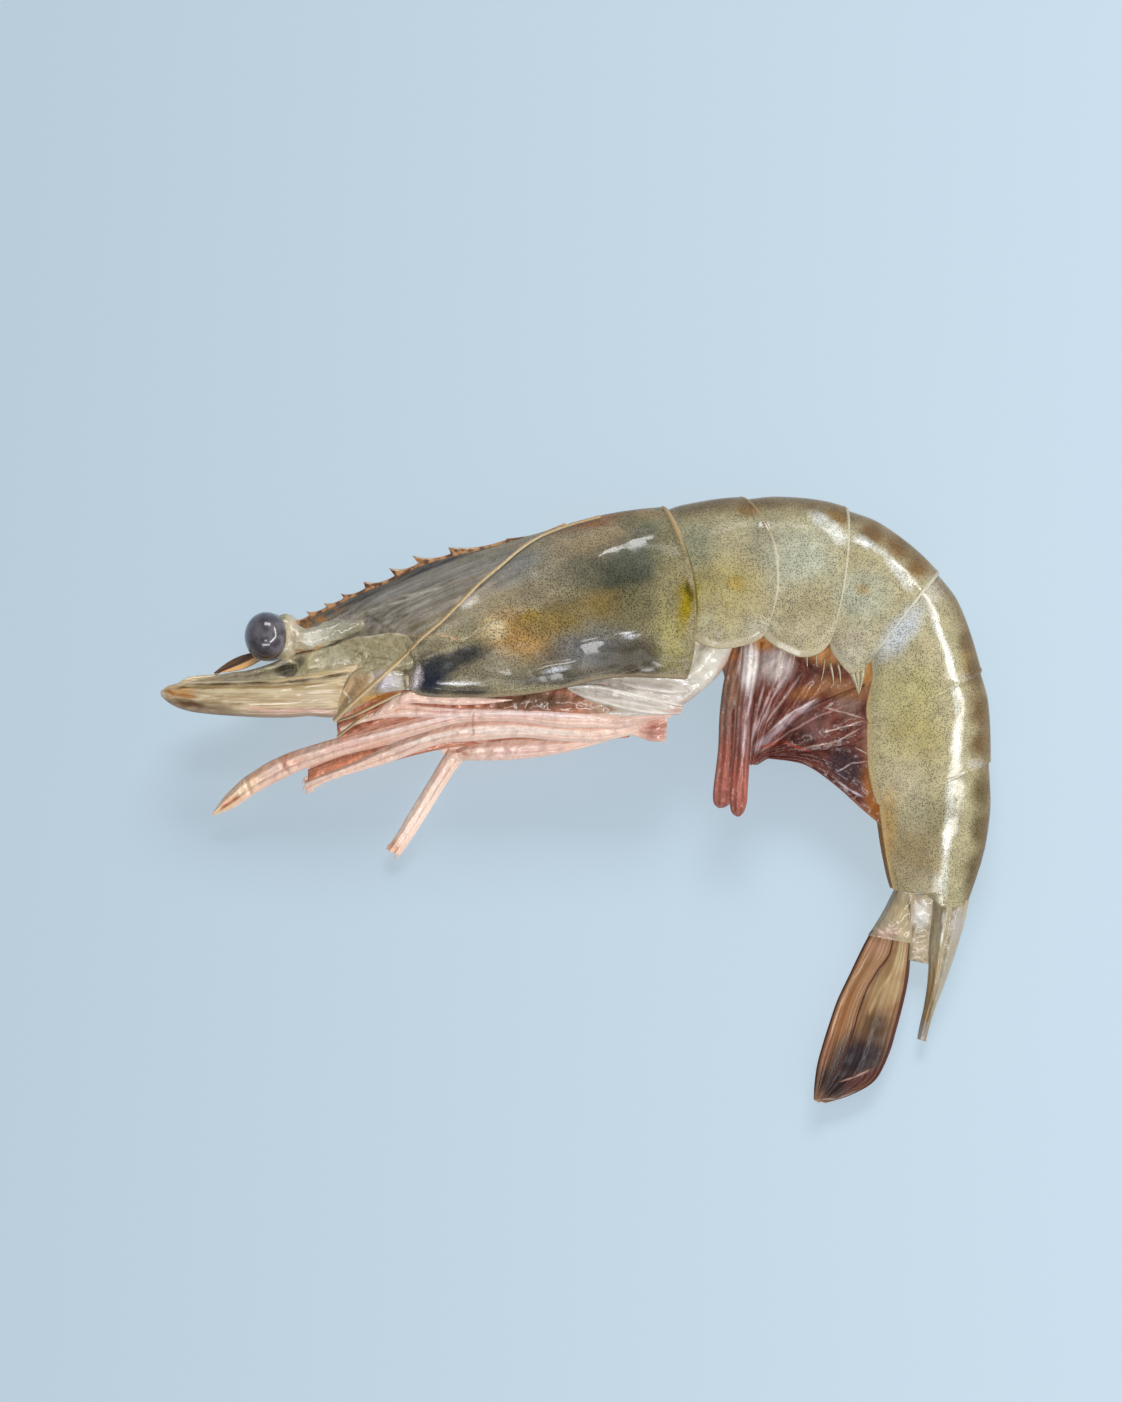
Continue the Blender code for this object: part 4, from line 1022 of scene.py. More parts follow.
plate("flesh_of_thorax",
      ((17.5, 27.6), (16.1, 25.0), (15.2, 22.1), (13.5, 20.1), (9.7, 19.5), (3.9, 18.3), (-3.3, 16.6)),
      ((23.1, 24.4), (22.3, 22.4), (21.0, 19.5), (18.1, 16.3), (12.9, 13.0), (5.9, 11.7), (-2.8, 11.4)),
      (KEEL + 0.4, KEEL + 0.4, KEEL + 0.8, KEEL + 1.4, KEEL + 1.6, KEEL + 1.6, KEEL + 1.2),
      (2.6, 3.4, 3.6, 3.2, 2.6, 2.2, 1.4), pale_flesh, "pale_flesh", "thorax_flesh",
      around=90, rings=130, wobble=0.25,
      relief=lambda t, across: 0.25 * math.sin(across * 13 + 3 * t))
plate("plate_upper", ((4.6, 18.1), (7.1, 18.6), (10.3, 18.9), (13.2, 18.6), (15.8, 17.6)),
      ((4.9, 17.8), (7.4, 16.7), (10.3, 16.0), (13.2, 15.6), (15.7, 15.9)),
      (KEEL + 4.5, KEEL + 4.8, KEEL + 4.9, KEEL + 4.9, KEEL + 4.5), (0.2, 0.45, 0.5, 0.5, 0.25),
      pale_flesh, "pale_flesh", "leg_root_upper", relief=plate_relief)
plate("plate_lower", ((-1.7, 16.7), (1.3, 17.2), (5.2, 16.6), (9.6, 15.4), (15.2, 14.1)),
      ((-1.6, 16.3), (1.6, 14.7), (5.7, 13.6), (10.0, 12.7), (14.4, 12.7)),
      (KEEL + 4.2, KEEL + 4.7, KEEL + 4.9, KEEL + 4.8, KEEL + 4.2), (0.2, 0.5, 0.6, 0.55, 0.3),
      pale_flesh, "pale_flesh", "leg_root_lower", relief=plate_relief)


# --- Eyes ---
# A black-violet globe of fine facets, wet and glassy, sits in a pale collar at the end of a short,
# clear, whitish stalk. There is one on each side of the rostrum.

EYE_LEFT = (-45.05, 24.0, KEEL + 4.6)
EYE_RADII = (3.12, 3.55, 3.3)
RIGHT_EYE_LIFT = 0.5
COLLAR_LEFT = (-42.4, 23.9, KEEL + 3.6)
COLLAR_RADII = (2.1, 3.4, 2.0)
STALK_LEFT = ((-42.0, 23.9, KEEL + 3.9), (-40.7, 23.7, KEEL + 3.9), (-39.3, 23.6, KEEL + 3.8),
              (-37.3, 24.0, KEEL + 3.6), (-34.4, 25.1, KEEL + 3.2), (-30.6, 25.9, KEEL + 2.2))
STALK_SIZES = ((2.4, 1.5), (1.9, 1.7), (1.6, 1.6), (1.55, 1.5), (1.5, 1.2), (0.5, 0.4))

eye_glass, tree, shader = finish("eye_glass", 0.25, 1.0, 0.03, 0.1)
place = use(tree, WANDER, size=0.0022, reach=0.0009).outputs["Place"]
blotches = add(tree, "TexNoise", {"Vector": place, "Scale": 700.0, "Detail": 2.0}).outputs["Fac"]
colour = blend(tree, smooth_range(tree, blotches, 0.4, 0.6), (0.06, 0.052, 0.062), (0.125, 0.115, 0.135))
colour = marked(tree, colour, (
    (-46.5, 25.0, 1.3, 1.2, 0, (0.15, 0.14, 0.16), 0.7),
    (-43.6, 25.3, 1.3, 1.0, 0, (0.13, 0.115, 0.13), 0.7),
    (-45.1, 23.4, 0.7, 0.6, 0, (0.04, 0.033, 0.04), 0.9),
    (-45.1, 20.8, 3.8, 1.2, 0, (0.035, 0.016, 0.01), 1.0),
    (-42.0, 23.6, 0.4, 2.3, 0, (0.05, 0.03, 0.03), 0.8),
), place)
facets = add(tree, "TexVoronoi", {"Vector": object_place(tree), "Scale": 5200.0})
film = use(tree, WET, coarse=0.0012, fine=0.0005, depth=0.00009)
bump = add(tree, "Bump", {"Height": facets.outputs["Distance"], "Strength": 0.3,
                          "Distance": 0.00002, "Normal": film.outputs["Normal"]})
dress(tree, shader, colour, bump)

clear_skin = soft_skin("clear_skin", (0.46, 0.41, 0.27), (0.25, 0.21, 0.12), 12, (
    (-36.9, 24.1, 2.6, 1.7, 15, (0.52, 0.5, 0.42), 0.85),             # whitish stalk, grey towards its root
    (-32.9, 25.6, 2.9, 1.7, 0, (0.21, 0.19, 0.13), 1.0),
    (-38.7, 23.6, 1.4, 1.4, 0, (0.66, 0.63, 0.56), 0.9),
    (-33.9, 25.9, 2.9, 0.9, 12, (0.26, 0.25, 0.2), 0.8),
    (-41.2, 24.0, 1.3, 4.6, 0, (0.54, 0.45, 0.33), 0.9),               # collar of the eye
    (-34.7, 24.4, 2.3, 0.7, 12, (0.2, 0.2, 0.16), 0.7),
    (-40.6, 20.1, 1.3, 1.7, 0, (0.17, 0.15, 0.1), 0.9),
    (-42.3, 19.2, 2.0, 1.6, 0, (0.01, 0.008, 0.006), 1.0),           # painted shade in the pit of the orbit
    (-39.3, 20.1, 0.7, 2.2, -30, (0.44, 0.4, 0.2), 0.85),
    (-35.7, 20.8, 3.2, 1.7, 5, (0.47, 0.44, 0.31), 0.85),
    (-30.0, 22.1, 3.8, 2.0, 5, (0.3, 0.255, 0.14), 0.85),
    (-24.9, 22.3, 3.2, 2.3, 5, (0.3, 0.25, 0.14), 0.95),
    (-27.7, 17.5, 2.6, 1.9, 0, (0.6, 0.56, 0.62), 0.95),             # lilac-white antenna joint
    (-31.8, 17.5, 2.0, 1.4, 20, (0.46, 0.31, 0.18), 0.85),
    (-32.5, 16.0, 3.8, 3.8, 40, (0.42, 0.26, 0.12), 0.9),
    (-30.0, 14.9, 2.3, 0.7, 20, (0.5, 0.26, 0.06), 0.9),
    (-33.8, 18.3, 2.3, 0.9, 10, (0.5, 0.4, 0.26), 0.8),
    (-50.6, 18.1, 5.8, 1.3, 8, (0.27, 0.22, 0.15), 0.85),             # antennules
    (-54.2, 17.8, 2.3, 0.7, 10, (0.4, 0.28, 0.15), 0.8),
), (
    *stroke(((-41.0, 21.8), (-38.7, 22.0), (-37.0, 22.7)), 0.3, (0.44, 0.2, 0.07)),
    # painted shade in the crevice under the eyestalk
    *stroke(((-36.0, 22.7), (-33.8, 23.6), (-31.3, 24.7)), 0.38, (0.045, 0.035, 0.025)),
    *stroke(((-43.8, 20.1), (-42.3, 20.7), (-40.7, 20.1), (-40.5, 18.8),
            (-41.5, 17.8)), 0.25, (0.6, 0.5, 0.34), 0.9),
    *stroke(((-30.0, 23.6), (-27.1, 22.7), (-24.8, 21.2)), 0.22, (0.44, 0.36, 0.2), 0.8),
    *stroke(((-32.9, 22.1), (-30.0, 21.0), (-26.0, 20.7)), 0.22, (0.16, 0.12, 0.06), 0.7),
    *stroke(((-31.0, 24.0), (-27.4, 24.6), (-22.0, 24.1)), 0.4, (0.6, 0.53, 0.38)),
    *stroke(((-37.8, 19.5), (-34.7, 20.5), (-32.0, 20.2)), 0.35, (0.5, 0.46, 0.34), 0.8),
    *stroke(((-42.8, 17.2), (-39.0, 17.6), (-33.9, 18.9)), 0.4, (0.55, 0.45, 0.24), 0.9),
    *stroke(((-41.0, 18.3), (-39.6, 20.1), (-38.3, 21.4)), 0.35, (0.6, 0.55, 0.3), 0.9),
    *stroke(((-38.1, 25.6), (-35.5, 26.5), (-32.9, 27.0)), 0.2, (0.6, 0.55, 0.46), 0.8),
    *stroke(((-42.2, 20.7), (-40.5, 21.1), (-37.8, 21.7)), 0.25, (0.5, 0.42, 0.26), 0.8),
    *stroke(((-43.8, 18.1), (-41.6, 17.8), (-39.7, 18.8)), 0.35, (0.66, 0.58, 0.42), 0.9),
    *stroke(((-32.5, 22.7), (-29.1, 21.8), (-24.8, 20.1)), 0.22, (0.44, 0.38, 0.25), 0.7),
    *stroke(((-34.7, 20.1), (-32.3, 21.2), (-30.0, 23.6)), 0.2, (0.46, 0.41, 0.27), 0.7),
    *stroke(((-24.9, 19.5), (-25.1, 18.1), (-24.9, 16.5)), 0.28, (0.07, 0.05, 0.05)),
    # painted highlight: a glint on the wet antenna root
    *stroke(((-33.9, 16.3), (-32.9, 14.9), (-33.2, 13.4)), 0.25, (0.7, 0.62, 0.5), 0.8),
), (0.07, 0.06, 0.04), bump=0.0003, film=0.7)


def other_side(route, lift=0.0, shift=(0.0, 0.0)):
    """The same route on the animal's other side, below the middle plane."""
    return tuple((x + shift[0], y + shift[1], 2 * KEEL - z + lift) for x, y, z in route)


for side, eye, collar, stalk in (
    ("left", EYE_LEFT, COLLAR_LEFT, STALK_LEFT),
    ("right", *other_side((EYE_LEFT, COLLAR_LEFT), RIGHT_EYE_LIFT), other_side(STALK_LEFT, RIGHT_EYE_LIFT)),
):
    for name, centre, radii, material, slot, node in (
        ("globe", eye, EYE_RADII, eye_glass, "eye", "eye"),
        ("collar", collar, COLLAR_RADII, clear_skin, "clear_shell", "eyestalk"),
    ):
        ball = bmesh.new()
        bmesh.ops.create_uvsphere(ball, u_segments=96, v_segments=64, radius=1.0)
        bmesh.ops.scale(ball, vec=radii, verts=ball.verts)
        bmesh.ops.translate(ball, vec=centre, verts=ball.verts)
        keep(f"{name}_{side}", ball, material, slot, f"{node}_{side}")
    limb(f"stalk_{side}", stalk, STALK_SIZES, clear_skin, "clear_shell", f"eyestalk_{side}",
         around=64, wobble=0.22)


# --- Head and antennae ---
# Behind the eyes a knobbly block of clear shell carries the feelers: short first antennae, the thick
# roots of the second antennae and their long stiff scales, each braced by a rib near its upper edge.
# One long ochre antenna is folded back over the carapace, and two pale whiskers lie below.

limb("head_block",
     ((-25.6, 17.2, KEEL), (-30.6, 18.0, KEEL), (-36.0, 18.8, KEEL), (-41.0, 19.0, KEEL + 0.2),
      (-44.6, 18.9, KEEL + 0.3)),
     ((1.7, 2.6), (3.3, 3.6), (3.1, 3.0), (2.6, 2.2), (0.9, 0.8)), clear_skin, "clear_shell", "cephalon",
     around=80, rings=100, wobble=0.2)


def orbit_relief(t, across):
    """The pit of the orbit at the front, its rounded lip, and low folds behind."""
    pit = -1.6 * hump(t, 0.06, 0.07) * hump(across, 0.5, 0.3)
    lip = 0.3 * hump(t, 0.2, 0.045) - 0.2 * hump(t, 0.3, 0.05)
    return pit + lip + 0.12 * math.sin(across * 12 + 5 * t) + 0.2 * hump(across, 0.05, 0.08)


plate("cheek",
      ((-43.2, 21.0), (-40.5, 21.8), (-37.8, 22.3), (-35.2, 23.1), (-32.8, 24.0), (-30.2, 24.1),
      (-27.3, 24.5),
       (-24.4, 24.4), (-21.3, 24.0)),
      ((-43.5, 17.3), (-40.6, 17.5), (-37.8, 17.8), (-34.9, 18.1), (-32.2, 18.6), (-29.6, 18.9),
      (-27.0, 19.1),
       (-24.6, 19.2), (-22.3, 20.5)),
      (KEEL + 1.5, KEEL + 2.3, KEEL + 2.7, KEEL + 3.2, KEEL + 3.7, KEEL + 4.4, KEEL + 5.2,
       KEEL + 5.9, KEEL + 6.3),
      (0.7, 1.0, 1.1, 1.0, 0.9, 0.8, 0.7, 0.6, 0.45), clear_skin, "clear_shell", "cephalon",
      around=100, rings=150, relief=orbit_relief, wobble=0.2)
plate("first_antenna_left",
      ((-41.6, 21.6), (-44.5, 20.2), (-47.7, 19.2), (-50.6, 18.8), (-53.5, 18.2), (-56.0, 17.6),
      (-57.9, 17.2)),
      ((-41.6, 17.2), (-44.5, 17.0), (-47.7, 17.0), (-50.6, 17.0), (-53.5, 16.9), (-56.0, 16.7),
      (-57.7, 16.7)),
      (KEEL + 1.5, KEEL + 1.5, KEEL + 1.4, KEEL + 1.3, KEEL + 1.2, KEEL + 1.1, KEEL + 1.0),
      (1.1, 1.0, 0.9, 0.75, 0.6, 0.4, 0.2), clear_skin, "clear_shell", "antennule_left",
      relief=lambda t, across: 0.16 * math.sin(across * 15), wobble=0.15)
limb("first_antenna_right", ((-42.6, 18.7, KEEL - 1.9), (-47.5, 18.2, KEEL - 1.8),
                             (-53.0, 17.5, KEEL - 1.4)),
     ((1.4, 1.1), (1.1, 0.9), (0.35, 0.3)), clear_skin, "clear_shell", "antennule_right", wobble=0.1)

SCALE_UPPER = ((-31.8, 20.4), (-34.7, 19.5), (-37.8, 18.8), (-41.2, 18.2), (-45.1, 17.8), (-49.2, 17.6),
               (-53.5, 17.5), (-56.8, 17.4), (-59.2, 17.0), (-60.6, 16.1))
SCALE_LOWER = ((-33.8, 12.5), (-36.1, 12.3), (-38.9, 12.5), (-41.9, 12.3), (-45.5, 12.3), (-49.4, 12.5),
               (-53.4, 12.8), (-56.7, 13.3), (-59.0, 14.2), (-60.5, 15.4))
SCALE_HEIGHTS = (4.0, 4.2, 4.2, 4.1, 4.0, 3.7, 3.2, 2.6, 1.9, 1.4)
SCALE_DEPTHS = (0.9, 1.1, 1.15, 1.1, 1.05, 0.95, 0.8, 0.65, 0.5, 0.25)

scale_skin, tree, shader = finish("antennal_scale_skin", 0.34, 1.0, 0.06, 0.3, (1.0, 0.8, 0.5))
round_way, along = skin_map(tree)
across = smooth_range(tree, round_way, 0.0, 1.0)
near = use(tree, WANDER, size=0.0014, reach=0.0004).outputs["Place"]
place = use(tree, WANDER, size=0.0025, reach=0.0008).outputs["Place"]
lines = use(tree, STREAKS, place=object_place(tree), turn=math.radians(1), length=0.02,
            width=0.00032, contrast=0.18).outputs["Mask"]
colour = blend(tree, lines, (0.42, 0.3, 0.16), (0.68, 0.56, 0.37))
colour = blend(tree, smooth_range(tree, across, 0.72, 0.98, 0.0, 0.8), colour, (0.26, 0.19, 0.14))
colour = marked(tree, colour, (
    (-41.0, 13.1, 7.0, 0.7, 1, (0.5, 0.33, 0.25), 0.7),
    (-37.8, 15.2, 4.6, 1.4, 0, (0.58, 0.46, 0.33), 0.6),
    (-51.8, 13.7, 2.9, 0.6, -6, (0.22, 0.15, 0.09), 0.8),
    (-57.4, 16.0, 2.6, 0.9, -4, (0.66, 0.37, 0.14), 0.9),
    (-60.2, 15.7, 0.6, 0.7, 0, (0.66, 0.56, 0.46), 0.8),
    (-48.6, 16.3, 5.2, 0.7, 0, (0.58, 0.45, 0.24), 0.6),
), place)
colour = marked(tree, colour, (
    *stroke(((-58.4, 16.6), (-54.2, 17.1), (-49.2, 17.2), (-43.4, 17.3), (-37.6, 17.9), (-32.9, 18.8)), 0.32,
            (0.1, 0.065, 0.015), 1.0),
    # painted highlight: a yellow stripe along the top of the rib
    *stroke(((-56.4, 17.5), (-50.6, 17.6), (-45.1, 17.7), (-39.7, 18.2), (-35.4, 19.1)), 0.25,
            (0.66, 0.52, 0.26), 0.9),
    *stroke(((-57.1, 16.6), (-50.6, 16.7), (-43.4, 16.7), (-36.1, 17.3)), 0.28, (0.26, 0.17, 0.06), 0.8),
    *stroke(((-55.0, 15.9), (-47.7, 16.0), (-40.5, 16.0)), 0.5, (0.68, 0.58, 0.4), 0.7),
    *stroke(((-59.6, 16.5), (-57.3, 16.9), (-55.0, 16.9)), 0.22, (0.66, 0.5, 0.3), 0.8),
    (-56.1, 14.3, 3.5, 0.7, -10, (0.1, 0.04, 0.014), 0.95),
    *stroke(((-60.0, 16.3), (-58.1, 15.7), (-55.5, 15.3)), 0.4, (0.42, 0.17, 0.04), 0.85),
    *stroke(((-59.0, 15.0), (-55.5, 14.6), (-51.2, 14.3), (-47.7, 14.3)), 0.25, (0.3, 0.2, 0.1), 0.7),
    *stroke(((-48.0, 13.7), (-43.4, 13.3), (-39.0, 13.4), (-35.5, 13.0)), 0.3, (0.66, 0.4, 0.33), 0.9),
    *stroke(((-57.9, 13.3), (-53.5, 12.8), (-48.4, 12.5)), 0.25, (0.2, 0.13, 0.09), 0.8),
    *stroke(((-57.0, 16.0), (-52.1, 15.7), (-44.8, 15.7)), 0.24, (0.36, 0.27, 0.14), 0.7),
    *stroke(((-50.6, 14.9), (-44.8, 14.7), (-37.6, 14.4)), 0.2, (0.4, 0.3, 0.18), 0.6),
), near)
height = add(tree, "Bump", {"Height": lines, "Strength": 0.6, "Distance": 0.0001})
dress(tree, shader, colour, height)


def scale_relief(t, across):
    """The rib along the scale's upper edge, with a groove beside it, and faint long flutes."""
    rib = 0.3 * hump(across, 0.07, 0.05) - 0.25 * hump(across, 0.17, 0.04) + 0.12 * hump(across, 0.28, 0.06)
    flutes = 0.05 * math.sin(across * 34) + 0.15 * hump(across, 0.9, 0.06)
    return (rib + flutes) * (1 - ease(0.8, 1.0, t))


plate("scale_left", SCALE_UPPER, SCALE_LOWER, tuple(KEEL + z for z in SCALE_HEIGHTS), SCALE_DEPTHS,
      scale_skin, "clear_shell", "antennal_scale_left", around=120, rings=160, relief=scale_relief,
      wobble=0.04)
plate("scale_right", tuple((x + 2.2, y + 1.1) for x, y in SCALE_UPPER),
      tuple((x + 2.2, y + 1.1) for x, y in SCALE_LOWER),
      tuple(KEEL + 0.4 - z for z in SCALE_HEIGHTS), SCALE_DEPTHS,
      scale_skin, "clear_shell", "antennal_scale_right", around=80, rings=110, wobble=0.04)


def root_relief(t, across):
    """Knobs and folds where the joints of the antenna's root meet."""
    return (0.3 * math.sin(7 * t + 6 * across) + 0.35 * hump(across, 0.2, 0.12)
            - 0.3 * hump(t, 0.95, 0.08))


plate("root_of_antenna_left",
      ((-34.4, 15.4), (-33.4, 18.0), (-31.8, 19.4), (-30.0, 19.4), (-28.9, 18.8)),
      ((-35.1, 12.3), (-33.6, 12.8), (-32.0, 13.7), (-30.4, 14.6), (-29.1, 15.3)),
      (KEEL + 4.2, KEEL + 4.6, KEEL + 4.9, KEEL + 5.1, KEEL + 5.0), (0.9, 1.2, 1.3, 1.2, 0.6),
      clear_skin, "clear_shell", "antenna_root_left", around=90, rings=90, relief=root_relief, wobble=0.3)
plate("joint_of_antenna_left",
      ((-30.3, 19.1), (-28.6, 19.4), (-26.7, 19.2), (-25.2, 18.9), (-24.5, 18.3)),
      ((-31.2, 14.9), (-29.1, 15.6), (-27.1, 16.0), (-25.4, 16.2), (-24.5, 16.6)),
      (KEEL + 5.2, KEEL + 5.6, KEEL + 5.8, KEEL + 5.8, KEEL + 5.4), (0.5, 1.1, 1.2, 1.0, 0.4),
      clear_skin, "clear_shell", "antenna_root_left", around=80, rings=80,
      relief=lambda t, across: 0.3 * hump(t, 0.8, 0.06) - 0.25 * hump(t, 0.9, 0.05), wobble=0.25)
limb("root_of_antenna_right", ((-25.8, 17.0, KEEL - 4.2), (-29.4, 16.6, KEEL - 4.2),
                               (-32.0, 15.9, KEEL - 4.0), (-34.8, 15.2, KEEL - 3.8)),
     ((1.7, 1.4), (2.6, 1.7), (2.8, 1.9), (2.7, 1.4)), clear_skin, "clear_shell", "antenna_root_right",
     around=60, wobble=0.25)

THREAD_RADIUS = 0.3
AIR = 0.25           # between the antenna and the shell under it
THREAD_OVER_SHELL = (  # where it crosses the carapace, seen from above
    (-25.6, 20.8), (-22.9, 23.4), (-20.0, 26.1), (-17.1, 28.8), (-14.1, 31.5), (-11.2, 34.2), (-8.2, 36.8),
    (-5.2, 38.6), (-1.5, 40.1), (3.0, 41.3))
THREAD_FREE = ((-35.2, 11.9, KEEL + 5.6), (-33.2, 13.8, KEEL + 6.6), (-29.4, 17.2, KEEL + 7.4))
shell_points = [carapace_ring(t / 160, THREAD_RADIUS + AIR)(turn / 200)
                for t in range(161) for turn in range(4, 70)]
thread_route = THREAD_FREE + tuple(
    tuple(min(shell_points, key=lambda point: (point.x - x) ** 2 + (point.y - y) ** 2))
    for x, y in THREAD_OVER_SHELL)
THREAD_RINGS = 2400.0          # turns of the fine rings along it, in radians
thread_skin, tree, shader = finish("antenna_skin", 0.4, 0.6, 0.12, 0.2)
round_way, along = skin_map(tree)
rings_of_it = maths(tree, "SINE", maths(tree, "MULTIPLY", along, THREAD_RINGS))
colour = blend(tree, smooth_range(tree, rings_of_it, -1.0, 1.0), (0.27, 0.17, 0.07), (0.5, 0.37, 0.19))
colour = blend(tree, smooth_range(tree, round_way, 0.45, 0.65, 0.0, 0.5), colour, (0.66, 0.54, 0.34))
tree.links.new(colour, shader.inputs["Base Color"])
limb("long_antenna", thread_route, ((0.34, 0.3), (0.28, 0.26), (0.24, 0.24), (0.18, 0.18)), thread_skin,
     "antenna", "antenna_thread", around=12, rings=420, wobble=0.02,
     relief=lambda t, across: 0.01 * math.sin(t * 300))
WHISKERS = (
    ((-34.9, 9.6, KEEL + 2.2), (-32.4, 11.4, KEEL + 5.2), (-30.4, 12.8, KEEL + 5.6)),
    ((-34.6, 11.9, KEEL + 3.4), (-31.5, 13.0, KEEL + 6.2), (-25.6, 15.9, KEEL + 6.9)),
)
for number, route in enumerate(WHISKERS, 1):
    limb(f"pale_whisker_{number}", route, ((0.18, 0.18), (0.22, 0.22), (0.14, 0.14)), thread_skin,
         "pale_flesh", f"whisker_{number}", around=10, rings=40, wobble=0.05)


# --- Mouth limbs ---
# Long feelers and jaw feet lie folded forward under the head, in two or three pink-lilac strands with
# brick-red hollows between them, over a thin brown flap of skin. They are soft and very wet.

limb_skin = soft_skin("limb_skin", (0.84, 0.62, 0.52), (0.74, 0.48, 0.38), None, (
    (-49.9, 1.4, 5.8, 2.0, 40, (1.0, 0.66, 0.38), 0.7),            # yellow claw
    (-52.9, -1.2, 1.4, 1.0, 45, (0.92, 0.74, 0.5), 0.8),
    (-41.9, 6.2, 2.3, 1.7, 25, (0.84, 0.46, 0.32), 0.7),
    (-33.2, 8.2, 5.8, 1.4, 18, (0.95, 0.6, 0.48), 0.55),
    (-18.7, 12.8, 8.7, 1.2, 6, (0.78, 0.55, 0.52), 0.55),
    (-4.2, 13.1, 8.7, 0.9, -2, (0.74, 0.52, 0.5), 0.5),
    (1.6, 10.4, 8.7, 1.4, 3, (0.9, 0.7, 0.58), 0.6),
    (-8.6, 10.4, 8.7, 1.0, 0, (0.86, 0.72, 0.64), 0.6),
    (-33.2, 4.3, 8.7, 1.4, 18, (1.0, 0.72, 0.58), 0.6),
    (-23.3, -0.8, 2.9, 8.7, -32, (0.92, 0.72, 0.6), 0.9),          # cream shin
    (-27.1, -6.9, 1.7, 1.4, 0, (0.86, 0.56, 0.4), 0.8),
    (-8.6, 7.2, 7.2, 1.2, 2, (0.84, 0.58, 0.55), 0.5),
    (11.0, 10.5, 2.6, 2.3, 0, (0.42, 0.15, 0.11), 0.9),             # brick-red stump
    (7.1, 11.7, 2.9, 1.2, 10, (0.56, 0.36, 0.3), 0.7),
), (
    *stroke(((8.8, 10.8), (-2.8, 10.8), (-11.5, 11.7), (-20.2, 10.9),
            (-26.0, 9.5)), 0.22, (0.66, 0.38, 0.29), 0.5),
    *stroke(((-26.0, 9.5), (-33.2, 7.2), (-40.5, 4.6), (-45.4, 2.4)), 0.35, (0.78, 0.4, 0.25), 0.8),
    *stroke(((8.8, 13.1), (-2.8, 13.8), (-14.4, 14.0), (-23.1, 12.4)), 0.25, (0.66, 0.38, 0.32), 0.6),
    *stroke(((-23.1, 12.4), (-31.8, 10.2), (-40.5, 7.8), (-46.0, 5.1),
            (-49.4, 2.7)), 0.35, (0.8, 0.42, 0.27), 0.8),
    (-46.0, 5.9, 3.2, 1.4, 30, (0.84, 0.5, 0.34), 0.7),
    (-42.9, 7.3, 1.4, 0.9, 25, (0.72, 0.3, 0.16), 0.8),
    (-49.4, 1.8, 2.3, 1.2, 45, (0.96, 0.74, 0.5), 0.7),
    (-33.2, 8.3, 4.9, 0.7, 18, (0.8, 0.52, 0.47), 0.6),
    (-8.6, 12.8, 7.2, 0.7, 0, (0.82, 0.6, 0.6), 0.6),
    # painted highlights along the legs
    *stroke(((3.0, 12.3), (-5.7, 12.8), (-14.4, 13.1), (-23.1, 11.4),
            (-33.2, 8.8)), 0.35, (0.88, 0.76, 0.72), 0.7),
    *stroke(((0.1, 9.9), (-8.6, 10.5), (-17.3, 10.2), (-26.0, 8.3)), 0.4, (0.86, 0.77, 0.7), 0.8),
    *stroke(((-49.4, 0.8), (-50.9, -0.1), (-52.5, -1.1)), 0.3, (0.5, 0.16, 0.06)),
    *stroke(((-42.5, 7.6), (-42.6, 6.2), (-43.1, 4.7)), 0.3, (0.6, 0.18, 0.06), 0.8),
    *stroke(((-15.2, 13.1), (-15.4, 11.4), (-15.2, 9.6)), 0.2, (0.5, 0.24, 0.17), 0.8),
    *stroke(((-27.0, -5.7), (-27.7, -7.2)), 0.3, (0.6, 0.25, 0.12), 0.8),
    *stroke(((-18.7, 7.3), (-17.5, 7.3), (-16.1, 6.9)), 0.35, (0.5, 0.16, 0.07), 0.8),
), bump=0.00026, film=0.8)
mouth_skin = soft_skin("mouth_skin", (0.6, 0.27, 0.17), (0.34, 0.11, 0.06), None, (
    (-28.7, 15.3, 2.6, 0.7, 12, (0.4, 0.17, 0.02), 0.95),             # amber hollow under the antenna
    (-23.1, 13.3, 3.8, 0.9, -5, (0.5, 0.16, 0.1), 0.85),
    (-33.9, 5.0, 7.2, 1.3, 20, (0.86, 0.36, 0.2), 0.9),               # red-orange tissue between the legs
    (-6.4, 14.6, 8.7, 1.9, 3, (0.1, 0.06, 0.035), 0.95),            # dark brown under the shell's margin
    (3.9, 13.7, 3.8, 1.7, 0, (0.36, 0.28, 0.2), 0.9),
    (-21.6, 14.9, 7.2, 0.9, 3, (0.5, 0.27, 0.22), 0.8),
    (-17.8, 7.0, 2.0, 0.9, 0, (0.4, 0.1, 0.05), 0.9),
), bump=0.0004)

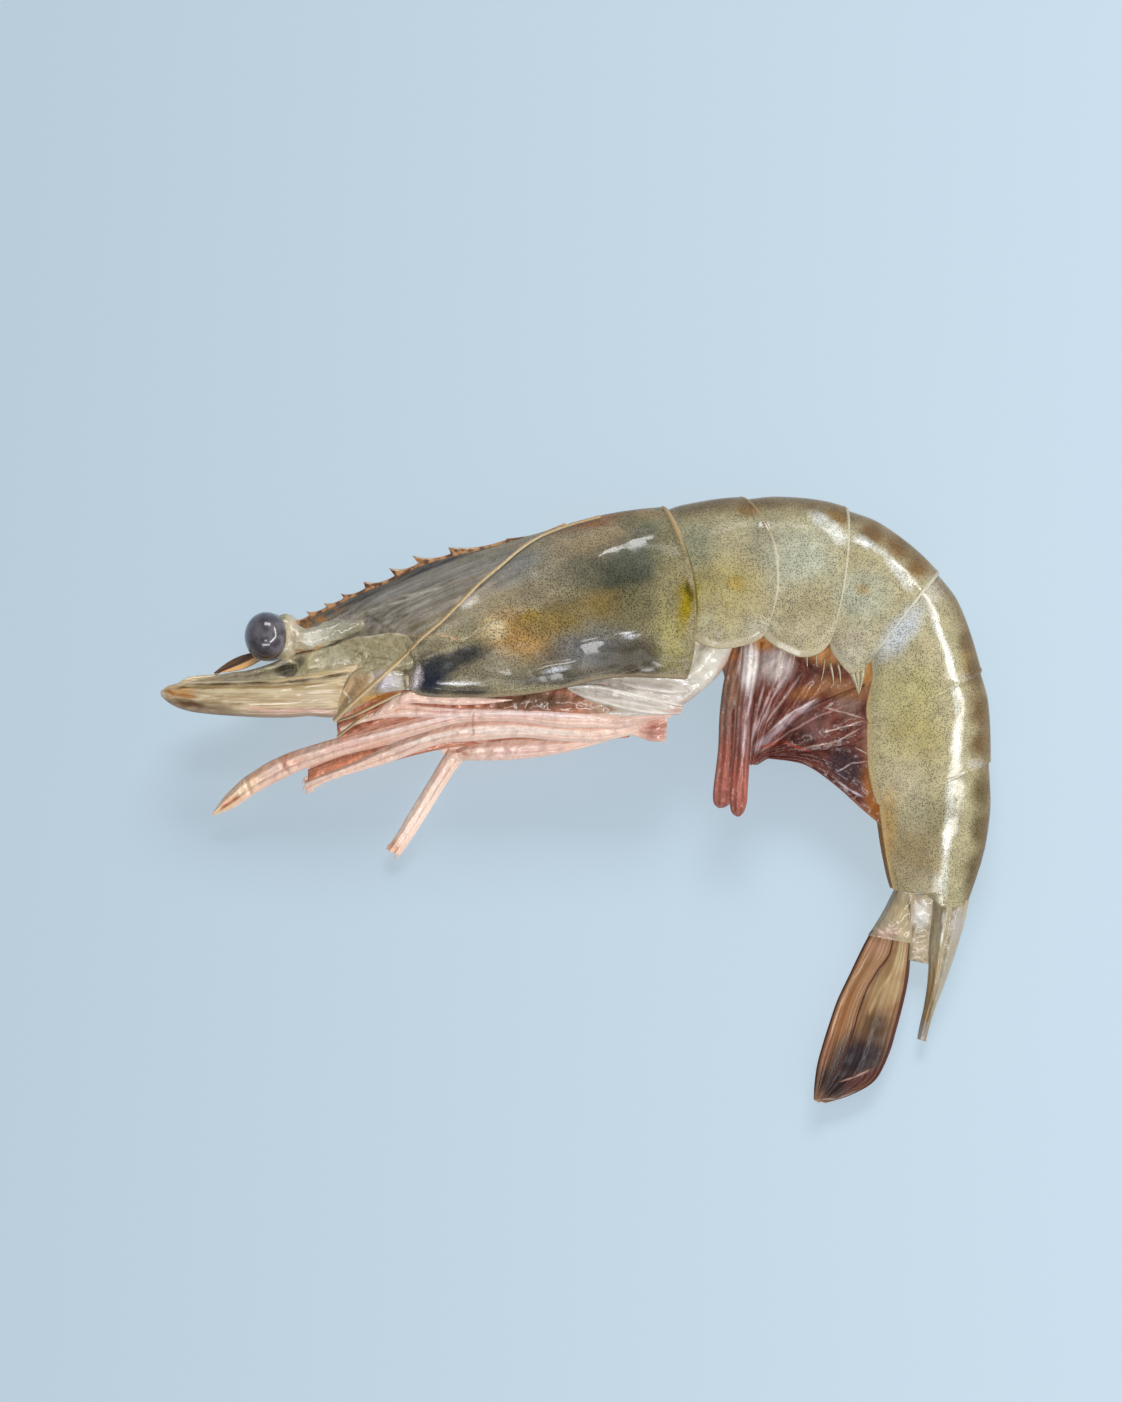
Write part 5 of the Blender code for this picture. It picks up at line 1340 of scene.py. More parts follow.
plate("jaw_foot_left",
      ((-30.0, 12.7), (-28.0, 14.4), (-25.7, 15.9), (-22.3, 16.2), (-18.0, 15.7), (-13.6, 15.2),
      (-9.6, 14.9)),
      ((-29.4, 12.0), (-27.1, 13.1), (-24.8, 14.3), (-21.6, 14.3), (-17.7, 14.1), (-13.3, 14.3),
      (-9.6, 14.8)),
      (KEEL + 3.2, KEEL + 4.0, KEEL + 4.5, KEEL + 4.6, KEEL + 4.6, KEEL + 4.3, KEEL + 3.8),
      (0.4, 0.6, 0.8, 0.8, 0.75, 0.5, 0.1), limb_skin, "leg", "maxilliped_left", wobble=0.2)
plate("inner_jaw_foot_left",
      ((-34.7, 10.9), (-32.0, 12.1), (-29.3, 13.3), (-26.0, 14.4), (-21.6, 14.0), (-17.0, 13.7),
      (-11.5, 13.6),
       (-2.8, 13.1)),
      ((-34.4, 10.4), (-31.8, 11.4), (-28.9, 12.1), (-25.7, 12.4), (-21.6, 12.3), (-17.0, 12.3),
      (-11.5, 12.5),
       (-2.8, 12.5)),
      (KEEL + 2.2, KEEL + 2.8, KEEL + 3.2, KEEL + 3.4, KEEL + 3.5, KEEL + 3.4, KEEL + 3.3, KEEL + 3.0),
      (0.4, 0.5, 0.6, 0.7, 0.7, 0.7, 0.6, 0.4), limb_skin, "leg", "maxilliped_left", wobble=0.2,
      relief=lambda t, across: -0.4 * hump(across, 0.35, 0.12) * hump(t, 0.5, 0.2))
MAXILLIPED_RIGHT = ((-3.0, 14.6, KEEL - 3.3), (-12.0, 14.3, KEEL - 3.6), (-22.0, 14.2, KEEL - 3.5),
                    (-30.0, 12.8, KEEL - 2.3), (-34.6, 11.4, KEEL - 1.5))
limb("jaw_foot_right", MAXILLIPED_RIGHT, ((0.5, 0.6), (0.85, 0.8), (1.05, 0.9), (0.95, 0.8), (0.35, 0.4)),
     limb_skin, "leg", "maxilliped_right", around=48, rings=110, wobble=0.22)
plate("brown_flap", ((-35.2, 12.8), (-32.9, 13.7), (-30.0, 15.2), (-27.1, 16.3), (-24.2, 16.3)),
      ((-34.9, 8.9), (-32.3, 9.8), (-29.1, 10.8), (-26.2, 11.6), (-23.6, 12.2)),
      (KEEL + 0.3, KEEL + 0.8, KEEL + 1.2, KEEL + 1.6, KEEL + 1.8), (0.8, 1.0, 1.2, 1.2, 1.0), mouth_skin,
      "mouth", "mouth_flap", relief=lambda t, across: 0.25 * math.sin(across * 15 + 4 * t), wobble=0.35)
plate("gill_skin", ((-26.7, 15.7), (-20.2, 15.7), (-12.9, 15.7), (-5.7, 16.6), (1.6, 17.2), (8.8, 17.2)),
      ((-26.7, 12.5), (-20.2, 12.3), (-12.9, 12.5), (-5.7, 12.8), (1.6, 12.5), (8.8, 12.5)),
      (KEEL + 1.0, KEEL + 1.2, KEEL + 1.6, KEEL + 2.2, KEEL + 2.4, KEEL + 1.6),
      (1.2, 1.6, 1.8, 1.8, 1.8, 1.4), mouth_skin, "mouth", around=90, rings=140, wobble=0.5)
plate("skin_between_legs",
      ((7.4, 11.7), (-1.3, 11.7), (-10.0, 11.7), (-15.8, 11.4), (-20.2, 10.2), (-24.5, 9.1), (-29.6, 7.9),
      (-34.7, 6.6),
       (-39.6, 4.7)),
      ((7.4, 9.4), (-1.3, 8.5), (-10.0, 7.9), (-15.8, 8.2), (-20.2, 7.6), (-24.2, 6.7), (-28.9, 5.4),
      (-33.8, 4.1),
       (-39.6, 2.2)),
      (KEEL - 2.4, KEEL - 2.6, KEEL - 3.0, KEEL - 3.0, KEEL - 2.4, KEEL - 2.2, KEEL - 2.6, KEEL - 3.4,
      KEEL - 4.4),
      (0.4, 0.6, 0.6, 0.6, 0.6, 0.6, 0.6, 0.5, 0.4), mouth_skin, "mouth", wobble=0.3)


# --- Walking legs ---
# Jointed pink-cream legs, flattened and finely lined, run forward under the body. The first ends in a
# narrow yellow claw, the second is torn off, and the third is bent at the knee and cut short.


def leg_relief(joints, groove=0.0, slit=None):
    """Swollen joints with a crease, a groove along the leg, and the claw's slit from some way on."""
    def relief(t, across):
        rise = sum(0.2 * hump(t, at, 0.018) - 0.3 * hump(t, at + 0.012, 0.006) for at in joints)
        rise -= 0.5 * groove * hump(across, 0.62, 0.08) * ease(0.05, 0.2, t)
        rise += 0.04 * math.sin(across * 17 + 3 * t) + 0.12 * hump(across, 0.3, 0.12)
        if slit:
            rise -= 0.8 * hump(across, 0.5, 0.09) * ease(slit, slit + 0.03, t)
        return rise
    return relief


plate("leg_first",
      ((12.3, 12.8), (5.9, 13.3), (1.6, 13.7), (-2.8, 14.0), (-8.6, 14.1), (-14.4, 14.1), (-18.4, 13.6),
       (-21.9, 12.7), (-26.0, 11.7), (-30.3, 10.5), (-34.9, 9.4), (-38.7, 8.3), (-41.9, 7.3), (-45.1, 5.9),
       (-47.1, 4.7), (-49.2, 3.3), (-51.8, 0.8), (-53.8, -1.8)),
      ((12.6, 12.3), (6.2, 10.7), (1.9, 10.8), (-2.8, 10.9), (-8.6, 11.7), (-13.2, 11.8), (-16.8, 11.6),
       (-20.2, 10.8), (-24.2, 9.6), (-28.9, 8.3), (-33.9, 6.9), (-37.7, 5.6), (-40.5, 4.6), (-43.1, 3.4),
       (-45.8, 2.0), (-48.3, 0.5), (-50.8, -1.1), (-53.5, -2.1)),
      (KEEL + 2.4, KEEL + 2.6, KEEL + 2.6, KEEL + 2.6, KEEL + 2.5, KEEL + 2.3, KEEL + 2.0, KEEL + 1.6,
       KEEL + 1.0, KEEL + 0.2, KEEL - 0.8, KEEL - 1.6, KEEL - 2.3, KEEL - 3.0, KEEL - 3.6, KEEL - 4.2,
       KEEL - 5.0, KEEL - 6.0),
      (0.4, 0.8, 0.9, 0.95, 0.9, 0.85, 0.8, 0.8, 0.8, 0.8, 0.8, 0.8, 0.85, 0.85, 0.85, 0.8, 0.6, 0.2),
      limb_skin, "leg", "leg_1_left", around=80, rings=300, wobble=0.16,
      relief=leg_relief((0.3, 0.73, 0.86), 0.3, 0.9))
plate("leg_second",
      ((13.5, 13.1), (8.8, 12.1), (3.0, 11.4), (-2.8, 11.5), (-8.6, 12.1), (-12.9, 12.2), (-16.8, 11.9),
       (-20.2, 11.0), (-23.8, 9.8), (-28.1, 8.1), (-33.2, 5.7), (-37.3, 4.1), (-40.2, 3.1)),
      ((13.5, 12.5), (9.1, 10.4), (3.3, 8.8), (-2.5, 8.9), (-8.3, 9.4), (-12.6, 9.1), (-16.5, 8.8),
       (-19.9, 8.5), (-23.5, 7.3), (-27.7, 5.7), (-32.5, 4.3), (-36.4, 3.0), (-39.6, 1.4)),
      (KEEL + 0.9, KEEL + 0.9, KEEL + 0.8, KEEL + 0.7, KEEL + 0.7, KEEL + 0.6, KEEL + 0.4, KEEL, KEEL - 0.6,
       KEEL - 1.6, KEEL - 2.8, KEEL - 3.8, KEEL - 4.8),
      (0.4, 0.9, 1.1, 1.1, 1.1, 1.0, 1.0, 0.9, 0.9, 0.8, 0.8, 0.8, 0.6),
      limb_skin, "leg", "leg_2_left", around=72, rings=220, relief=leg_relief((), 0.25), wobble=0.2)
plate("leg_third_thigh",
      ((4.2, 9.5), (-2.8, 9.2), (-8.6, 9.2), (-12.9, 8.9), (-15.8, 8.5), (-18.0, 7.6)),
      ((4.2, 8.8), (-2.8, 7.0), (-8.6, 6.2), (-12.9, 6.0), (-15.8, 6.0), (-17.4, 5.9)),
      (KEEL - 1.4, KEEL - 1.8, KEEL - 2.4, KEEL - 3.0, KEEL - 3.5, KEEL - 4.0),
      (0.5, 0.9, 0.9, 0.9, 0.85, 0.7), limb_skin, "leg", "leg_3_left_thigh", relief=leg_relief((), 0.2),
      wobble=0.16)
plate("leg_third_shin",
      ((-19.1, 7.8), (-20.4, 5.7), (-22.3, 2.5), (-25.2, -2.2), (-26.8, -4.9), (-28.3, -7.0)),
      ((-16.2, 6.6), (-18.0, 4.6), (-20.2, 1.2), (-23.2, -3.6), (-24.8, -6.0), (-26.2, -8.0)),
      (KEEL - 4.2, KEEL - 4.8, KEEL - 5.4, KEEL - 6.0, KEEL - 6.4, KEEL - 6.8),
      (0.7, 0.9, 0.85, 0.8, 0.8, 0.7), limb_skin, "leg", "leg_3_left_shin", relief=leg_relief((0.1,), 0.1,
      0.9),
      wobble=0.14)
plate("leg_fourth", ((3.9, 10.7), (7.4, 12.0), (10.3, 12.5), (12.9, 13.3)),
      ((3.9, 9.9), (7.4, 9.8), (10.3, 8.9), (12.6, 8.8)),
      (KEEL + 0.4, KEEL + 0.6, KEEL + 0.6, KEEL + 0.5), (0.3, 0.7, 0.8, 0.35), limb_skin, "leg",
      "leg_4_left", relief=lambda t, across: 0.25 * math.sin(across * 14), wobble=0.3)
limb("leg_first_of_right", ((4.0, 12.2, KEEL - 2.8), (-8.0, 12.2, KEEL - 4.0),
                            (-20.0, 10.2, KEEL - 5.0), (-31.0, 6.9, KEEL - 5.8),
                            (-39.3, 4.5, KEEL - 7.0)),
     ((0.9, 0.8), (1.1, 0.95), (1.1, 0.9), (1.2, 0.8), (1.0, 0.5)), limb_skin, "leg", "leg_1_right",
     around=48, rings=140, wobble=0.14)
limb("leg_second_of_right", ((2.0, 10.2, KEEL - 5.6), (-8.0, 9.4, KEEL - 6.6),
                             (-14.6, 8.9, KEEL - 7.0), (-20.2, 8.1, KEEL - 7.3)),
     ((0.8, 0.7), (1.0, 0.9), (1.15, 0.85), (1.2, 0.6)), limb_skin, "leg", "leg_2_right",
     around=48, wobble=0.14)
TORN_ENDS = (        # where each torn leg ends (x, y, z), the way its fibres point, and their number
    ((-39.7, 2.4, KEEL - 4.8), (-1.0, -0.45), 11),
    ((-27.2, -7.2, KEEL - 6.8), (-0.5, -0.85), 7),
)
fibres = []
for (x, y, z), (dx, dy), number in TORN_ENDS:
    for n in range(number):
        spread = (n / (number - 1) - 0.5) * 1.9
        start = (x - dy * spread - dx * 0.5, y + dx * spread - dy * 0.5, z + 0.3 * math.sin(5 * n))
        reach = 0.7 + 0.5 * math.sin(n * 2.3) ** 2
        middle = (start[0] + dx * reach * 0.6, start[1] + dy * reach * 0.6, z + 0.2 * math.sin(3 * n))
        end = (start[0] + dx * reach + 0.2 * math.sin(7 * n), start[1] + dy * reach - 0.15 * n % 0.3,
               z - 0.2)
        fibres.append(((start, middle, end), 0.22, 0.08))
strands("torn_fibres", fibres, limb_skin, "leg")


# --- Swimming legs ---
# Five pairs of flat paddles hang under the abdomen. The first pair hangs straight, brick red and ribbed;
# the others fold over each other, dark red-brown with pale lilac roots and edges, over a dark membrane.

swimmer_skin = soft_skin("swimmer_skin", (0.2, 0.065, 0.045), (0.06, 0.012, 0.007), None, (
    (21.5, 17.8, 2.3, 8.1, 5, (0.3, 0.17, 0.11), 0.8),            # straight pair: tan above, brick red below
    (21.0, 4.0, 2.3, 8.1, 2, (0.4, 0.12, 0.08), 0.8),
    (23.5, 1.8, 2.0, 6.7, 0, (0.38, 0.1, 0.075), 0.8),
    (23.9, 10.5, 1.4, 5.8, 0, (0.3, 0.15, 0.14), 0.7),
    (20.6, 14.6, 1.3, 6.7, 4, (0.19, 0.125, 0.095), 0.9),
    (23.5, 1.8, 1.2, 4.3, 0, (0.42, 0.14, 0.1), 0.8),
    (20.4, 1.8, 1.3, 3.8, 0, (0.4, 0.14, 0.11), 0.8),
    (24.8, 19.8, 1.6, 4.6, -5, (0.9, 0.85, 0.82), 0.95),
    (28.6, 20.0, 2.9, 2.9, 20, (0.66, 0.58, 0.56), 0.9),
    (32.9, 15.9, 3.2, 1.3, 10, (0.3, 0.12, 0.035), 0.9),            # amber flesh
    (26.8, 23.1, 2.0, 1.6, 0, (0.5, 0.24, 0.08), 0.95),            # amber skin under the rings
    (21.8, 21.4, 1.7, 1.3, 0, (0.4, 0.17, 0.06), 0.9),
    (36.1, 21.4, 3.8, 1.7, 0, (0.5, 0.25, 0.09), 0.95),
    (41.9, 18.9, 1.7, 2.6, 0, (0.5, 0.26, 0.08), 0.95),
    (38.7, 16.3, 4.3, 1.7, -15, (0.36, 0.17, 0.07), 0.85),
    (33.8, 10.8, 2.9, 2.6, 0, (0.15, 0.075, 0.068), 0.8),           # grey-lilac clear skin
    (39.0, 14.1, 2.3, 2.0, 0, (0.26, 0.16, 0.13), 0.8),
    (38.7, 5.3, 4.1, 3.2, -40, (0.02, 0.013, 0.02), 1.0),          # blue-black fold
    (43.1, 0.9, 2.0, 6.1, 10, (0.34, 0.12, 0.015), 0.95),
    (30.6, 7.3, 5.2, 2.6, -8, (0.08, 0.01, 0.005), 0.95),
    (32.3, 9.1, 4.1, 2.0, -40, (0.035, 0.01, 0.008), 0.95),
    (42.5, 8.8, 1.4, 3.8, 0, (0.34, 0.18, 0.11), 0.85),
    (37.8, 16.6, 3.8, 1.7, -20, (0.3, 0.14, 0.06), 0.8),
), (
    *stroke(((22.5, 14.9), (22.3, 9.1), (22.0, 3.3)), 0.28, (0.09, 0.02, 0.015)),
    *stroke(((25.1, 16.3), (24.2, 12.0), (23.8, 6.9)), 0.28, (0.6, 0.48, 0.5), 0.85),
    *stroke(((20.9, 14.9), (20.4, 9.1), (20.2, 3.3)), 0.25, (0.3, 0.14, 0.1), 0.6),
    *stroke(((30.0, 18.9), (28.0, 14.9), (25.7, 9.8)), 0.3, (0.6, 0.46, 0.46), 0.85),
    *stroke(((26.8, 17.2), (25.8, 13.1), (25.1, 9.1)), 0.26, (0.52, 0.36, 0.36), 0.8),
    *stroke(((28.9, 16.3), (27.3, 13.1), (25.4, 8.8)), 0.3, (0.12, 0.03, 0.02), 0.85),
    *stroke(((34.7, 14.6), (31.2, 12.8), (28.1, 10.1), (25.4, 7.5)), 0.75, (0.42, 0.32, 0.34), 0.9),
    *stroke(((34.4, 14.9), (30.9, 13.1), (27.8, 10.5)), 0.2, (0.7, 0.6, 0.6), 0.8),
    *stroke(((29.7, 11.5), (32.0, 9.1), (34.9, 6.5)), 0.5, (0.06, 0.016, 0.012), 0.9),
    *stroke(((35.4, 10.1), (38.3, 10.9), (41.2, 11.8)), 0.16, (0.6, 0.48, 0.42), 0.85),
    *stroke(((35.8, 13.7), (38.4, 13.1), (41.0, 12.3)), 0.16, (0.6, 0.48, 0.42), 0.85),
    *stroke(((40.2, 7.9), (41.6, 7.2), (42.9, 6.6)), 0.16, (0.6, 0.48, 0.42), 0.8),
    *stroke(((28.0, 6.2), (32.3, 5.6), (36.1, 3.3), (39.6, 0.4)), 0.22, (0.36, 0.13, 0.09), 0.8),
    *stroke(((27.7, 16.3), (26.5, 13.1), (25.1, 9.4)), 0.2, (0.6, 0.42, 0.42), 0.8),
    *stroke(((32.0, 18.3), (30.0, 15.4), (27.1, 11.7)), 0.25, (0.5, 0.34, 0.32), 0.8),
    *stroke(((38.7, 14.0), (34.7, 12.5), (30.6, 10.2), (26.2, 7.3)), 0.2, (0.45, 0.26, 0.24), 0.8),
    *stroke(((41.0, 10.8), (37.3, 8.8), (32.9, 7.9)), 0.16, (0.5, 0.36, 0.32), 0.75),
    *stroke(((41.9, 5.9), (39.6, 5.6), (37.6, 4.4)), 0.14, (0.5, 0.38, 0.38), 0.75),
    *stroke(((25.7, 7.9), (29.7, 8.8), (33.8, 7.3)), 0.3, (0.3, 0.05, 0.03), 0.8),
    *stroke(((39.3, 0.7), (41.9, -1.4), (43.9, -3.4)), 0.25, (0.42, 0.2, 0.1), 0.85),
    *stroke(((37.6, 3.0), (39.3, 1.8), (41.3, 0.8)), 0.22, (0.5, 0.45, 0.5), 0.85),
), (0.28, 0.18, 0.15), bump=0.0003, film=0.45)


def paddle_relief(t, across):
    """A raised midrib and ribs beside it, fading to the tip."""
    return (0.3 * hump(across, 0.5, 0.08) + 0.1 * math.sin(across * 24)
            - 0.15 * hump(across, 0.3, 0.06)) * (1 - 0.5 * t)


def straight_relief(t, across):
    """Grooves between the strands of the straight pair, and a knob where the blade starts."""
    return 0.1 * math.sin(across * 16 + 1) + 0.3 * hump(t, 0.3, 0.04) - 0.2 * hump(t, 0.36, 0.02)


PADDLES = {          # left edge, right edge, heights over the keel and half thicknesses
    "1_left": (((23.8, 23.6), (23.5, 20.4), (23.2, 17.0), (22.8, 12.7), (22.5, 7.6), (21.9, 1.8),
    (21.9, -0.2), (22.2, -1.5),
                (22.9, -2.1)),
               ((26.0, 23.6), (26.0, 20.4), (25.5, 17.0), (24.9, 12.7), (24.8, 7.6), (24.5, 1.8),
               (24.4, 0.0), (24.0, -1.4),
                (23.4, -2.1)),
               (0.9, 1.4, 1.3, 0.9, 0.2, -0.6, -1.2), (0.8, 0.85, 0.8, 0.75, 0.7, 0.7, 0.4)),
    "1_right": (((22.9, 24.1), (21.8, 20.7), (20.9, 16.9), (20.4, 12.5), (20.2, 7.6), (19.6, 2.5),
    (19.5, 0.8), (19.7, -0.3),
                 (20.3, -0.9)),
                ((25.4, 23.6), (24.5, 20.1), (23.6, 16.6), (23.2, 12.5), (22.9, 7.6), (22.5, 2.5),
                (22.4, 0.8), (21.9, -0.4),
                 (21.1, -0.9)),
                (-0.4, -0.4, -0.5, -0.8, -1.4, -2.2, -3.0), (0.9, 0.9, 0.8, 0.75, 0.7, 0.65, 0.4)),
    "2_left": (((26.4, 23.3), (26.0, 19.2), (25.4, 15.2), (24.9, 10.9), (24.6, 5.4)),
               ((31.5, 21.8), (30.7, 18.3), (28.9, 14.4), (27.1, 10.4), (25.5, 5.5)),
               (0.5, 1.4, 1.7, 1.4, 0.8), (0.8, 0.8, 0.6, 0.45, 0.2)),
    "3_left": (((30.6, 21.2), (30.0, 17.5), (28.3, 13.7), (26.4, 9.8), (24.9, 5.7)),
               ((36.7, 17.2), (34.1, 14.6), (31.2, 11.7), (28.4, 8.3), (26.2, 5.9)),
               (0.2, 0.7, 0.8, 0.5, 0.2), (0.8, 0.7, 0.55, 0.45, 0.2)),
    "4_left": (((41.6, 17.2), (37.6, 15.7), (33.8, 14.0), (30.3, 11.4), (27.0, 8.3)),
               ((42.5, 9.6), (39.6, 8.5), (35.8, 7.6), (32.0, 7.2), (27.7, 6.9)),
               (-0.8, -0.5, -0.3, -0.6, -1.2), (0.7, 0.6, 0.5, 0.45, 0.2)),
    "5_left": (((44.5, 4.4), (41.9, 7.3), (38.1, 8.6), (33.8, 8.6), (27.4, 7.9)),
               ((44.5, -3.8), (41.0, -0.8), (37.3, 2.5), (32.9, 5.4), (27.7, 6.3)),
               (-1.9, -1.6, -1.4, -1.5, -2.0), (0.7, 0.6, 0.45, 0.4, 0.2)),
}
UNDER_LEFT = {"2": -8.4, "3": -6.4, "4": -4.2, "5": -2.1}    # the right ones lie this far below
ROOT_UNDER = -2.3
for pair, below in UNDER_LEFT.items():
    one, other, heights, depths = PADDLES[f"{pair}_left"]
    drops = (ROOT_UNDER if pair != "5" else below, (ROOT_UNDER + below) / 2, below, below, below)
    PADDLES[f"{pair}_right"] = (
        one, other, tuple(z + drop for z, drop in zip(heights, drops)), depths)
for which, (one, other, heights, depths) in PADDLES.items():
    plate(f"paddle_{which}", one, other, tuple(KEEL + z for z in heights), depths, swimmer_skin,
          "swimmer", f"pleopod_{which}", around=72, rings=110,
          relief=straight_relief if which.startswith("1") else paddle_relief, wobble=0.25)
plate("bristle_skin",
      ((21.0, 23.8), (26.2, 26.0), (32.0, 25.0), (38.1, 23.2), (43.0, 20.6), (45.6, 12.5)),
      ((20.7, 20.1), (24.7, 6.4), (28.0, 6.3), (32.9, 5.6), (39.3, 0.8), (44.5, -3.8)),
      (KEEL - 2.4, KEEL - 2.4, KEEL - 2.3, KEEL - 2.3, KEEL - 2.4, KEEL - 2.8),
      (0.3, 0.5, 0.6, 0.6, 0.5, 0.4), swimmer_skin, "swimmer", "pleopod_fringe", around=90, rings=130,
      wobble=0.4)

SPIKES = (           # from the lobes' lower edges: root, tip (x, y) and thickness
    ((32.5, 22.7), (32.9, 19.6), 0.22), ((33.9, 22.7), (34.2, 19.9), 0.2), ((36.2, 20.1), (36.7, 16.9), 0.24),
    ((37.3, 20.1), (37.7, 17.2), 0.2), ((31.0, 22.1), (30.7, 19.5), 0.14), ((29.6, 22.7), (29.0, 20.1), 0.12),
    ((35.4, 20.7), (34.9, 17.6), 0.12), ((28.6, 24.4), (28.0, 22.1), 0.14), ((39.0, 19.5), (40.3, 15.6), 0.5),
    ((39.9, 19.5), (40.3, 15.7), 0.5), ((40.9, 19.5), (40.3, 15.6), 0.45),
)
strands("lobe_spikes", [
    (((x, y, KEEL + 3.6), ((x + a) / 2 + 0.1, (y + b) / 2, KEEL + 4.2), (a, b, KEEL + 4.2)), thick, 0.05)
    for (x, y), (a, b), thick in SPIKES], clear_skin, "ring_shell", around=8)


# --- Tail fan ---
# The telson is a narrow grooved spike. Beside it, on short roots, two long blades on each side are
# folded into one, clear brown with dark ribs, a blackish end and a fine red-brown rim.

OUTER_EDGES = (
    ((42.9, -18.8), (41.3, -21.7), (39.3, -25.9), (37.8, -29.1), (36.7, -32.3), (35.7, -35.5), (34.9, -38.5),
     (34.5, -41.4), (34.4, -43.7)),
    ((46.1, -19.6), (45.5, -22.4), (43.5, -25.2), (42.0, -28.1), (41.0, -31.0), (40.2, -34.1), (39.0, -37.3),
     (37.3, -40.8), (35.2, -44.2)),
)
OUTER_HEIGHTS = (4.0, 3.9, 3.8, 3.7, 3.6, 3.5, 3.4, 3.25, 3.1)
INNER_EDGES = (
    ((45.5, -19.4), (44.4, -22.8), (41.9, -26.3), (40.3, -29.8), (39.0, -33.0), (38.0, -36.2), (37.0, -39.1),
     (36.0, -41.7), (35.2, -44.0)),
    ((48.6, -19.9), (48.3, -23.3), (48.0, -26.6), (47.3, -30.1), (46.3, -33.9), (45.2, -37.6), (43.4, -41.0),
     (39.9, -43.1), (36.1, -44.3)),
)
INNER_HEIGHTS = (3.0, 2.8, 2.7, 2.6, 2.5, 2.4, 2.3, 2.2, 2.1)
BLADE_DEPTHS = (0.4, 0.45, 0.45, 0.45, 0.4, 0.4, 0.35, 0.3, 0.15)

fan_shell, tree, shader = finish("fan_shell", 0.38, 0.25, 0.2, 0.2, (1.0, 0.55, 0.35))
round_way, along = skin_map(tree)
lengthwise = add(tree, "CombineXYZ", {"X": maths(tree, "MULTIPLY", along, 0.025),
                                      "Y": maths(tree, "MULTIPLY", round_way, 0.006)}).outputs["Vector"]
veins = use(tree, STREAKS, place=lengthwise, length=0.012, width=0.00026, contrast=0.2).outputs["Mask"]
place = use(tree, WANDER, size=0.003, reach=0.001).outputs["Place"]
near = use(tree, WANDER, size=0.0014, reach=0.0004).outputs["Place"]
colour = blend(tree, veins, (0.22, 0.11, 0.05), (0.37, 0.22, 0.11))
colour = marked(tree, colour, (
    (47.0, -22.8, 1.3, 3.5, -8, (0.5, 0.41, 0.25), 0.95),             # cream root of the inner blade
    (44.5, -27.5, 2.5, 3.8, -22, (0.38, 0.28, 0.16), 0.85),
    (46.3, -27.5, 1.2, 2.6, -22, (0.44, 0.34, 0.2), 0.85),
    (43.6, -32.7, 2.6, 2.6, -20, (0.095, 0.06, 0.035), 0.9),
    (43.6, -21.4, 1.7, 2.3, -30, (0.42, 0.25, 0.18), 0.8),
    (41.6, -26.5, 1.3, 3.5, -26, (0.35, 0.2, 0.11), 0.8),
    (39.0, -30.4, 1.3, 4.9, -20, (0.34, 0.16, 0.07), 0.85),
    (41.0, -37.6, 6.4, 4.3, 20, (0.03, 0.02, 0.028), 1.0),          # blackish end
    (37.6, -41.4, 4.1, 3.5, 20, (0.03, 0.015, 0.02), 1.0),
    (36.4, -35.3, 1.2, 4.3, -12, (0.28, 0.12, 0.07), 0.8),
    (41.6, -40.8, 3.8, 1.2, 32, (0.08, 0.012, 0.008), 0.95),
), place)
colour = marked(tree, colour, (
    *stroke(((45.4, -22.5), (42.2, -27.2), (40.7, -31.8), (38.7, -37.9)), 0.3, (0.06, 0.03, 0.02), 0.9),
    # painted highlight along the rib near the outer blade's edge
    *stroke(((42.3, -22.3), (39.7, -26.9), (38.0, -30.7), (36.8, -34.4)), 0.22, (0.6, 0.42, 0.32), 0.85),
    *stroke(((45.8, -25.0), (43.6, -28.6), (42.5, -31.2)), 0.3, (0.55, 0.45, 0.27), 0.7),
    *stroke(((38.3, -41.1), (40.3, -40.5), (42.5, -39.4)), 0.16, (0.5, 0.33, 0.3), 0.8),
    *stroke(((34.9, -43.7), (37.8, -43.7), (41.0, -42.4)), 0.16, (0.5, 0.4, 0.4), 0.7),
    *stroke(((48.0, -27.2), (46.8, -32.1), (45.1, -37.6)), 0.3, (0.22, 0.06, 0.04), 0.85),
), near)
colour = vector_maths(tree, "MULTIPLY", colour, (0.84, 0.76, 0.64))
fan_edge = maths(tree, "ABSOLUTE", maths(tree, "SUBTRACT", round_way, 0.5))
colour = blend(tree, smooth_range(tree, fan_edge, 0.3, 0.37, 0.0, 0.9), colour, (0.06, 0.014, 0.01))
colour = blend(tree, smooth_range(tree, along, 0.985, 0.997), colour, (0.5, 0.36, 0.3))
dimples = use(tree, WET, coarse=0.002, fine=0.0004, depth=0.00009)
height = add(tree, "Bump", {"Height": veins, "Strength": 0.3, "Distance": 0.00008,
                            "Normal": dimples.outputs["Normal"]})
dress(tree, shader, colour, height)

